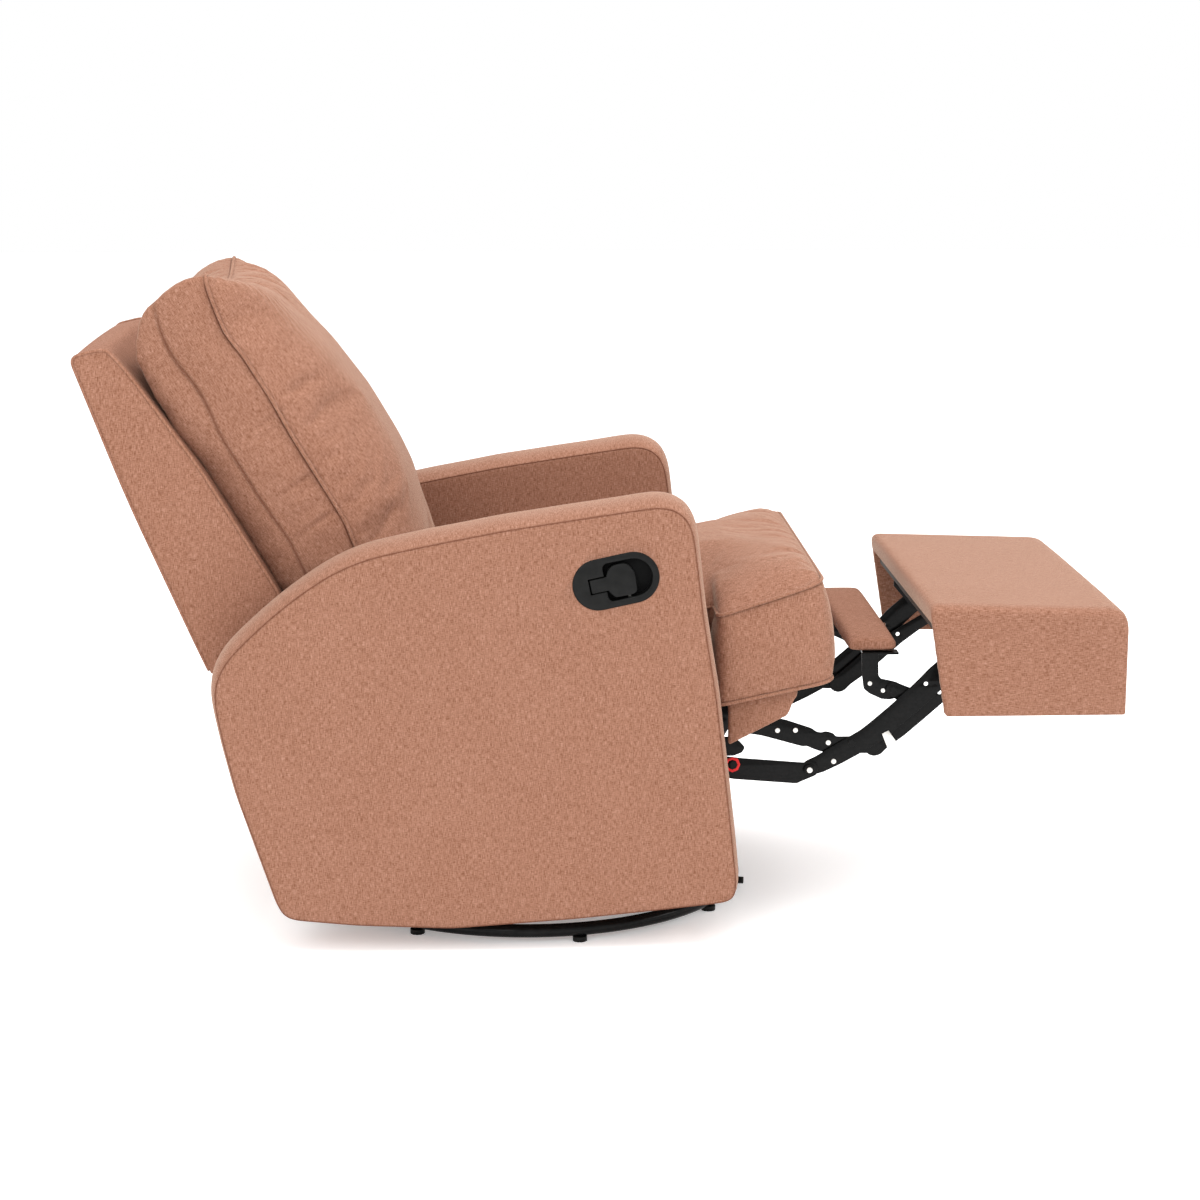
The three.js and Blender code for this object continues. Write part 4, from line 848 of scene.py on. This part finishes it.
def seat_cushion():
    """The seat pad: rings from its underside over the boxing to its crown.

    They are blown up, and what lies above the upper seam is then fitted to the drawn crown.
    """
    plan = seat_plan()
    rings = []
    bottom, top = seat_ring(plan, 0.0, 0), seat_ring(plan, 1.0, 0)
    centre = np.array([160.0, 0])
    for scale in (0.05, 0.4, 0.8, 0.97):
        flat = centre + (bottom[:, :2] - centre) * scale
        rings.append(np.column_stack([flat, seat_bottom(flat[:, 0])]))
    boxing = ((0, 0), (0.08, 2.5), (0.3, 6), (0.55, 6.5), (0.8, 4), (0.94, 1.5), (1, 0))
    rings += [seat_ring(plan, rise, swell) for rise, swell in boxing]
    spine = (SEAT_REAR + SEAT_HALF * 0.75, SEAT_FRONT - EAR_HALF * 0.4)
    for inset in (0.02, 0.05, 0.1, 0.16, 0.24, 0.34, 0.46, 0.6, 0.76, 0.92):
        to = np.clip(top[:, 0], *spine)
        x, y = top[:, 0] + (to - top[:, 0]) * inset, top[:, 1] * (1 - inset)
        mix = np.clip((x - EAR_REAR / 2) / (EAR_REAR / 2), 0, 1)
        half = SEAT_HALF + (EAR_HALF - SEAT_HALF) * mix * mix * (3 - 2 * mix)
        middle, reach = (SEAT_FRONT + SEAT_REAR) / 2, (SEAT_FRONT - SEAT_REAR) / 2
        full = np.sqrt(np.clip((1 - (y / half) ** 4) * (1 - ((x - middle) / reach) ** 4), 0, 1))
        off_seam = (top[:, 2] - seat_top(top[:, 0])) * (1 - inset)
        rings.append(np.stack([x, y, seat_top(x) + off_seam + 40 * full * min(1, inset / 0.26) ** 0.55], 1))
    cushion = remeshed(shell("seat_pad", rings), 6.0)
    blown_up(cushion, [resampled(bottom, 800), resampled(top, 800)], 22, spare=0.014)
    softened(cushion, 3)
    finer(cushion)
    flat = (coordinates(cushion) - in_frame(np.zeros(3))) / MM
    x, y, z = flat.T
    above = np.maximum(z - seat_top(x), 0)
    inner = (z > seat_top(x)) & (np.abs(y) < 230)
    factor = fitted_height(x, above, seat_crown, inner, -180, 444)
    z = np.where(z > seat_top(x), seat_top(x) + above * factor, z)
    pucker = np.sin(x / 9 + 2 * np.sin(x / 31) + y / 13) * np.exp(-np.abs(z - seat_top(x)) / 16)
    y = y + np.sign(y) * (np.abs(y) > 290) * pucker * 0.7
    z = np.maximum(z, seat_bottom(x) + 0.1)
    y = np.where(x < EAR_REAR - 8, np.clip(y, -CLOTH_REACH, CLOTH_REACH), y)
    set_coordinates(cushion, in_frame(np.stack([x, y, z], 1)))
    paint_seam_shade(cushion, [resampled(top, 800)], 3.0)
    weave_by_side(cushion, (0, 1, 0), (0, 0, 1))
    finish(cushion, TERRACOTTA, "upholstery", "seat", "seat_cushion")
    for name, path, lift in (("top", top, 0.6), ("bottom", bottom, 1.2)):
        path = resampled(path + [0, 0, lift], 520)
        welt(f"seat_pad_welt_{name}", path, 2.6, (0, 1, 0), (0, 0, 1), TERRACOTTA, "seat")


seat_cushion()

# Back slab: a tapered outline of the side view, carried across the back, with a welt round each side
SLAB_CORNERS = [
    (-429.7, 300), (-347, 336.6), (-330, 417.7), (-372.8, 515.2), (-479.7, 696), (-582, 840), (-611, 872.5),
    (-662, 860), (-585.5, 653), (-480.5, 407)]
SLAB_RADII = [18, 18, 9, 0, 30, 30, 12, 12, 60, 60]
SLAB_HALF = 240.0
NOTCH_TOP = 394.0
NOTCH_DEPTHS = ((-260, -224), (224, 260))


def back_slab():
    """The slab, in rings from side to side: its top rises by 2 (1 - t^2), and its sides dip at the welts."""
    outline = eased(resampled(rounded_corners(SLAB_CORNERS, SLAB_RADII), 420), 1.2)
    normal = outward(outline)
    middle = (outline.min(0) + outline.max(0)) / 2 + [25, -40]
    forward = np.abs(normal[:, 0]) + np.maximum(0, normal[:, 0])
    lift = np.clip(normal[:, 1] * 1.4 - 0.4 * forward, 0, 1)[:, None]
    panel = [(middle + (outline - middle) * share, 1.2) for share in (0.03, 0.3, 0.6, 0.85)]
    panel += [(outline - normal * inset, 1.2 - 2.2 * np.exp(-inset / 2.2)) for inset in (7, 4, 2, 1)]
    rings = [ring_at(flat, -SLAB_HALF - proud) for flat, proud in panel]
    for t in (-1, -0.985, -0.96, -0.9, -0.8, -0.6, -0.3, 0, 0.3, 0.6, 0.8, 0.9, 0.96, 0.985, 1):
        puff = 1.2 * (1 - abs(t) ** 8) - 1.0 * abs(t) ** 30
        rings.append(ring_at(outline + normal * (puff + 2 * (1 - t * t) * lift), (SLAB_HALF - 1.5) * t))
    rings += [ring_at(flat, SLAB_HALF + proud) for flat, proud in reversed(panel)]
    slab = shell("back_slab", rings)
    low = [(-520, 200), (-250, 200), (-250, NOTCH_TOP), (-520, NOTCH_TOP)]
    carve(slab, *[prism("notch_cut", low, *depths) for depths in NOTCH_DEPTHS])
    above = resampled(outline[outline[:, 1] > NOTCH_TOP + 2], 300, closed=False)
    edges = [ring_at(above, sign * (SLAB_HALF - 1.6)) for _, sign in SIDES]
    paint_seam_shade(slab, edges, 3.2)
    weave_by_side(slab, (1, 0, 0), (0, 0, 1))
    # The slab and its welts take the shaded copy of the weave: painted shade
    finish(slab, SHADED_TERRACOTTA, "upholstery", "back", "back_frame")
    for (side, _), path in zip(SIDES, edges):
        welt(f"back_slab_welt_{side}", path, 2.3, (1, 0, 0), (0, 0, 1), SHADED_TERRACOTTA, "back", closed=False)


back_slab()


# Thinner upholstery keeps its node's form, with an even soft skin
def padded_copy(node, name, body, voxel, passes, across=(0, 1, 0), proud=(0, 0, 0), crown=(0, 0), cloth=TERRACOTTA):
    """A copy of a node's solid, remeshed, softened and stretched back to the node's box.

    Its cover stands proud of the box's low and high faces by so many millimetres. Where crown gives powers p, its
    height eases by 0.5 + 0.5 (1 - |u|^p)^0.5 towards the ends of that axis.
    """
    piece = placed(name, frame["nodes"][node].data.copy())
    turned_out(piece)
    wanted = coordinates(piece)
    remeshed(piece, voxel)
    softened(piece, passes)
    spots = coordinates(piece)
    low, high = spots.min(0), spots.max(0)
    share = (spots - low) / (high - low) * 2 - 1
    for axis, power in enumerate(crown):
        if power:
            share[:, 2] *= 0.5 + 0.5 * np.sqrt(np.clip(1 - np.abs(share[:, axis]) ** power, 0, 1))
    low, high = wanted.min(0) - np.array(proud[:3]) * MM, wanted.max(0) + np.array(proud[-3:]) * MM
    set_coordinates(piece, low + (share + 1) / 2 * (high - low))
    weave_by_side(piece, across, (0, 0, 1), turn=across == (1, 0, 0))
    finish(piece, cloth, "upholstery", body, node)


padded_copy("footrest_cover", "leg_rest_pad", "leg_rest", 3.5, 8, across=(1, 0, 0), proud=(3, 2.5, 1, 3, 2.5, 3.4))
# The middle pad takes the shaded copy of the weave: painted shade
padded_copy("mid_pad", "middle_pad_cover", "middle_pad", 2.5, 12, proud=(0, 0, 1.5), crown=(4, 6),
            cloth=SHADED_TERRACOTTA)
padded_copy("seat_deck", "seat_deck_cover", "seat", 4.0, 4)
padded_copy("rear_panel", "rear_cover", "chassis", 3.0, 4)

# Floor ring: a drawn tube under a gloss coat, and the short stub beside it
RING_RADIUS, RING_HEIGHT, RING_TUBE = 320.0, 18.0, 10.0
PLUG_TURN, PLUG_HEIGHT, PLUG_TUBE, PLUG_REACH = math.radians(-11), 12.0, 5.5, (322, 339)
ring_path = np.insert(arc((0, 0), RING_RADIUS, 0, 360, 241)[:-1], 2, RING_HEIGHT, axis=1)
floor_ring = tube("floor_ring_tube", ring_path, RING_TUBE, sides=28)
finish(floor_ring, GLOSS_BLACK, "gloss_black_steel", "base", "base_ring")
plug_path = [(r * math.cos(PLUG_TURN), r * math.sin(PLUG_TURN), PLUG_HEIGHT) for r in np.linspace(*PLUG_REACH, 6)]
plug = tube("floor_ring_plug", plug_path, PLUG_TUBE, closed=False, sides=20)
finish(plug, BLACK_PLASTIC, "black_plastic", "base")

# Leg rest links: each outline in the side view, its holes, its inner depth and its body
PIN_HOLE, RIVET_HOLE, LINK_THICKNESS = 6.4, 3.3, 3.0
LINKS = {
    "lower_link": (
        [(239, 233), (301, 219), (397, 211), (402, 214), (417, 220), (426, 224), (429, 233), (425, 243), (415, 246),
         (408, 243), (313, 251), (260, 258), (239, 261), (228, 256), (225, 247), (229, 238)],
        [((239, 247), PIN_HOLE)], 217.8, "lower_links"),
    "cross_link": (
        [(296, 292), (344, 284), (407, 266), (411, 268), (418, 264), (434, 258), (470, 256), (505, 255), (520, 258),
         (526, 268), (520, 279), (505, 282), (473, 281), (454, 281), (453, 286), (438, 290), (435, 287), (425, 289),
         (420, 294), (379, 308), (344, 315), (296, 321), (284, 314), (282, 304), (287, 296)],
        [((296, 306), PIN_HOLE)], 210.6, "cross_links"),
    "long_link": (
        [(415, 223), (425, 224), (438, 228), (465, 241), (492, 256), (530, 279), (560, 306), (589, 330), (611, 352),
         (640, 381), (659, 396), (662, 402), (658, 416), (645, 424), (632, 419), (609, 399), (594, 386), (580, 371),
         (565, 356), (550, 342), (536, 329), (521, 316), (506, 303), (491, 291), (460, 273), (440, 261), (424, 251),
         (410, 245), (404, 238), (406, 227)],
        [((589, 362), RIVET_HOLE)], 214.2, "long_links"),
    "front_link": (
        [(505, 252), (514, 249), (524, 252), (533, 262), (559, 281), (589, 307), (618, 333), (650, 357), (676, 373),
         (684, 372), (692, 376), (696, 385), (692, 393), (684, 396), (676, 395), (668, 391), (640, 374), (611, 357),
         (596, 347), (590, 345), (550, 361), (541, 364), (532, 360), (529, 352), (532, 344), (541, 340), (550, 334),
         (556, 325), (553, 315), (530, 295), (512, 279), (503, 276), (499, 266), (500, 257)],
        [((611, 347), RIVET_HOLE)], 207.0, "front_links"),
    "mid_pad_bracket": (
        [(493, 407.7), (518, 407.7), (519, 373), (523, 368), (541, 364), (550, 361), (555, 353), (553, 344),
         (546, 338), (536, 336), (524, 337), (505, 346), (497, 353), (494, 374)],
        [], 203.4, "middle_pad"),
}
RAIL_LUG = [(270, 257), (300, 257), (313, 262), (317, 270), (308, 280), (292, 286), (270, 286)]
# Small plates: outline, inner and outer depth, rim, metal and body
SMALL_PLATES = {
    "seat_rail_lug": (eased(resampled(RAIL_LUG, 160), 2.0), 224.1, 228.1, 0.4, BLACK_STEEL, "seat"),
    "mid_pad_flange": (
        [(495, 404.7), (549, 404.7), (549, 407.7), (495, 407.7)], 180.4, 205, 0.5, BLACK_STEEL, "middle_pad"),
    "link_tab": ([(524, 286), (534, 291), (545, 275), (533, 264)], 217.1, 218.5, 0.3, NICKEL, "long_links"),
}
# Heads of pins and rivets: place, radius, inner and outer depth, metal and body
HEADS = {
    "lower_tip_bolt": ((415, 233), 8.2, 220.6, 225.6, BLACK_STEEL, "lower_links"),
    "lower_tip_end": ((415, 233), 4.4, 225.4, 227.0, NICKEL, "lower_links"),
    "ring_nut": ((302, 240), 8.5, 220.6, 223.6, BLACK_STEEL, "lower_links"),
    "crossing_pin": ((479, 273), 5.6, 217.0, 218.8, BLACK_STEEL, "long_links"),
    "long_rivet": ((452, 244), 4.0, 217.0, 218.4, NICKEL, "long_links"),
    "cross_rivet_rear": ((367, 292), 3.9, 213.4, 214.8, NICKEL, "cross_links"),
    "cross_rivet_front": ((394, 292), 3.9, 213.4, 214.8, NICKEL, "cross_links"),
    "cross_rivet_mid": ((444, 272), 3.9, 213.4, 214.0, NICKEL, "cross_links"),
    "rest_rear_pin": ((645.5, 408), 6.2, 217.0, 219.6, BLACK_STEEL, "long_links"),
    "mid_pin": ((541.2, 352), 5.4, 209.8, 211.6, BLACK_STEEL, "front_links"),
    "mid_rivet_rear": ((506, 361), 3.4, 206.2, 206.9, NICKEL, "middle_pad"),
    "mid_rivet_front": ((526, 350), 3.4, 206.2, 206.9, NICKEL, "middle_pad"),
}


def metal_finish(piece, metal, body, *nodes):
    """A piece of the linkage gets one of its two metals."""
    finish(piece, metal, "satin_black_steel" if metal is BLACK_STEEL else "bright_steel", body, *nodes)


replaced_steel = {"base_ring"}
for side, sign in SIDES:
    for name, (outline, holes, depth, body) in LINKS.items():
        path = eased(resampled(outline, 360), 2.0)
        rounds = [arc(place, radius, 0, 360, 25)[:-1] for place, radius in holes]
        link = plate(f"{name}_plate_{side}", path, rounds, sign * depth, sign * (depth + LINK_THICKNESS))
        metal_finish(link, BLACK_STEEL, body, f"{name}_{side}")
        replaced_steel.add(f"{name}_{side}")
    for name, (outline, inner, outer, rim, metal, body) in SMALL_PLATES.items():
        metal_finish(plate(f"{name}_{side}", outline, [], sign * inner, sign * outer, rim), metal, body)
    for name, (place, radius, inner, outer, metal, body) in HEADS.items():
        head = stud(f"{name}_{side}", place, radius, sign * inner, sign * outer, min(0.6, (outer - inner) / 2))
        metal_finish(head, metal, body)


# Other metal and plastic solids are copied, with their edges broken by a small bevel
def machined(node, body, material, slot):
    """A copy of a node with doubles merged, flat faces joined, and edges over 40 degrees bevelled by 0.5 mm."""
    mesh = frame["nodes"][node].data.copy()
    piece = placed(f"{node}_finished", mesh)
    work = bmesh.new()
    work.from_mesh(mesh)
    bmesh.ops.remove_doubles(work, verts=work.verts, dist=1e-6)
    bmesh.ops.dissolve_limit(work, angle_limit=math.radians(1), verts=work.verts, edges=work.edges)
    work.to_mesh(mesh)
    work.free()
    modified(piece, "BEVEL", width=0.5 * MM, segments=2, limit_method="ANGLE", angle_limit=math.radians(40))
    smooth(piece.data)
    sharp_edges(piece, 35)
    finish(piece, material, slot, body, node)


# Every solid gets its material, and those of metal and plastic without a piece yet get their copy
LOOKS = {
    "gloss_black_steel": GLOSS_BLACK, "satin_black_steel": BLACK_STEEL, "black_plastic": BLACK_PLASTIC,
    "red_plastic": RED_PLASTIC, "bright_steel": NICKEL, "timber": TIMBER, "upholstery": TERRACOTTA}
COPIED = set(LOOKS) - {"timber", "upholstery"}
bodies = frame["record"]["behaviour"]["bodies"]
body_of_node = {node: body for body, nodes in bodies.items() for node in nodes}
for part in frame["record"]["subparts"]:
    name, slot = part["node"], part["material_slot"]
    mesh = frame["nodes"][name].data
    mesh.materials.clear()
    mesh.materials.append(LOOKS[slot])
    if slot in COPIED and name not in replaced_steel and not name.startswith("handle"):
        machined(name, body_of_node[name], LOOKS[slot], slot)

# Floor, camera and light, in metres
FLOOR_HALF = 14.0
floor_mesh = bpy.data.meshes.new("floor")
floor_mesh.from_pydata([(x * FLOOR_HALF, y * FLOOR_HALF, 0) for x, y in ((-1, -1), (1, -1), (1, 1), (-1, 1))], [],
                       [(0, 1, 2, 3)])
paper = Finish("floor", Roughness=0.9, Specular_IOR_Level=0.1, Base_Color=(0.96, 0.96, 0.96, 1),
               Emission_Color=(1, 1, 1, 1), Emission_Strength=0.27)
floor_mesh.materials.append(paper.material)
placed("floor", floor_mesh)

CAMERA_PLACE, CAMERA_DOWN, CAMERA_TURN = (-0.17164, -4.13024, 1.28414), 11.3997, -2.4525
lens = bpy.data.cameras.new("camera")
lens.lens, lens.sensor_width, lens.sensor_fit = 81.0, 36.0, "HORIZONTAL"
lens.clip_start, lens.clip_end = 0.1, 60
camera = placed("camera", lens)
camera.location = CAMERA_PLACE
camera.rotation_euler = (math.radians(90 - CAMERA_DOWN), 0, math.radians(CAMERA_TURN))
bpy.context.scene.camera = camera


def soft_light(name, place, aim, size, power):
    """A white rectangular lamp that faces its aim: place, aim and size in metres, power in watts."""
    lamp = bpy.data.lights.new(name, "AREA")
    lamp.shape, lamp.energy = "RECTANGLE", power
    lamp.size, lamp.size_y = size
    holder = placed(name, lamp)
    holder.location = place
    holder.rotation_euler = (Vector(aim) - Vector(place)).to_track_quat("-Z", "Y").to_euler()


soft_light("overhead", (0.3, -0.4, 4.2), (0, 0, 0.4), (4.5, 3.5), 165)
soft_light("front_fill", (-2.4, -4.4, 2.9), (-0.1, 0, 0.6), (3.2, 2.4), 106)
soft_light("right_fill", (4.2, -1.6, 2.6), (0, 0, 0.6), (2.6, 2.2), 70)
soft_light("rear_fill", (1.2, 4.4, 2.4), (0, 0, 0.5), (4.0, 2.4), 20)

world = bpy.data.worlds.new("studio")
world.use_nodes = True
sky = world.node_tree.nodes["Background"]
sky.inputs["Color"].default_value = (1, 1, 1, 1)
sky.inputs["Strength"].default_value = 1.0
bpy.context.scene.world = world
bpy.context.scene.view_settings.view_transform = "Standard"
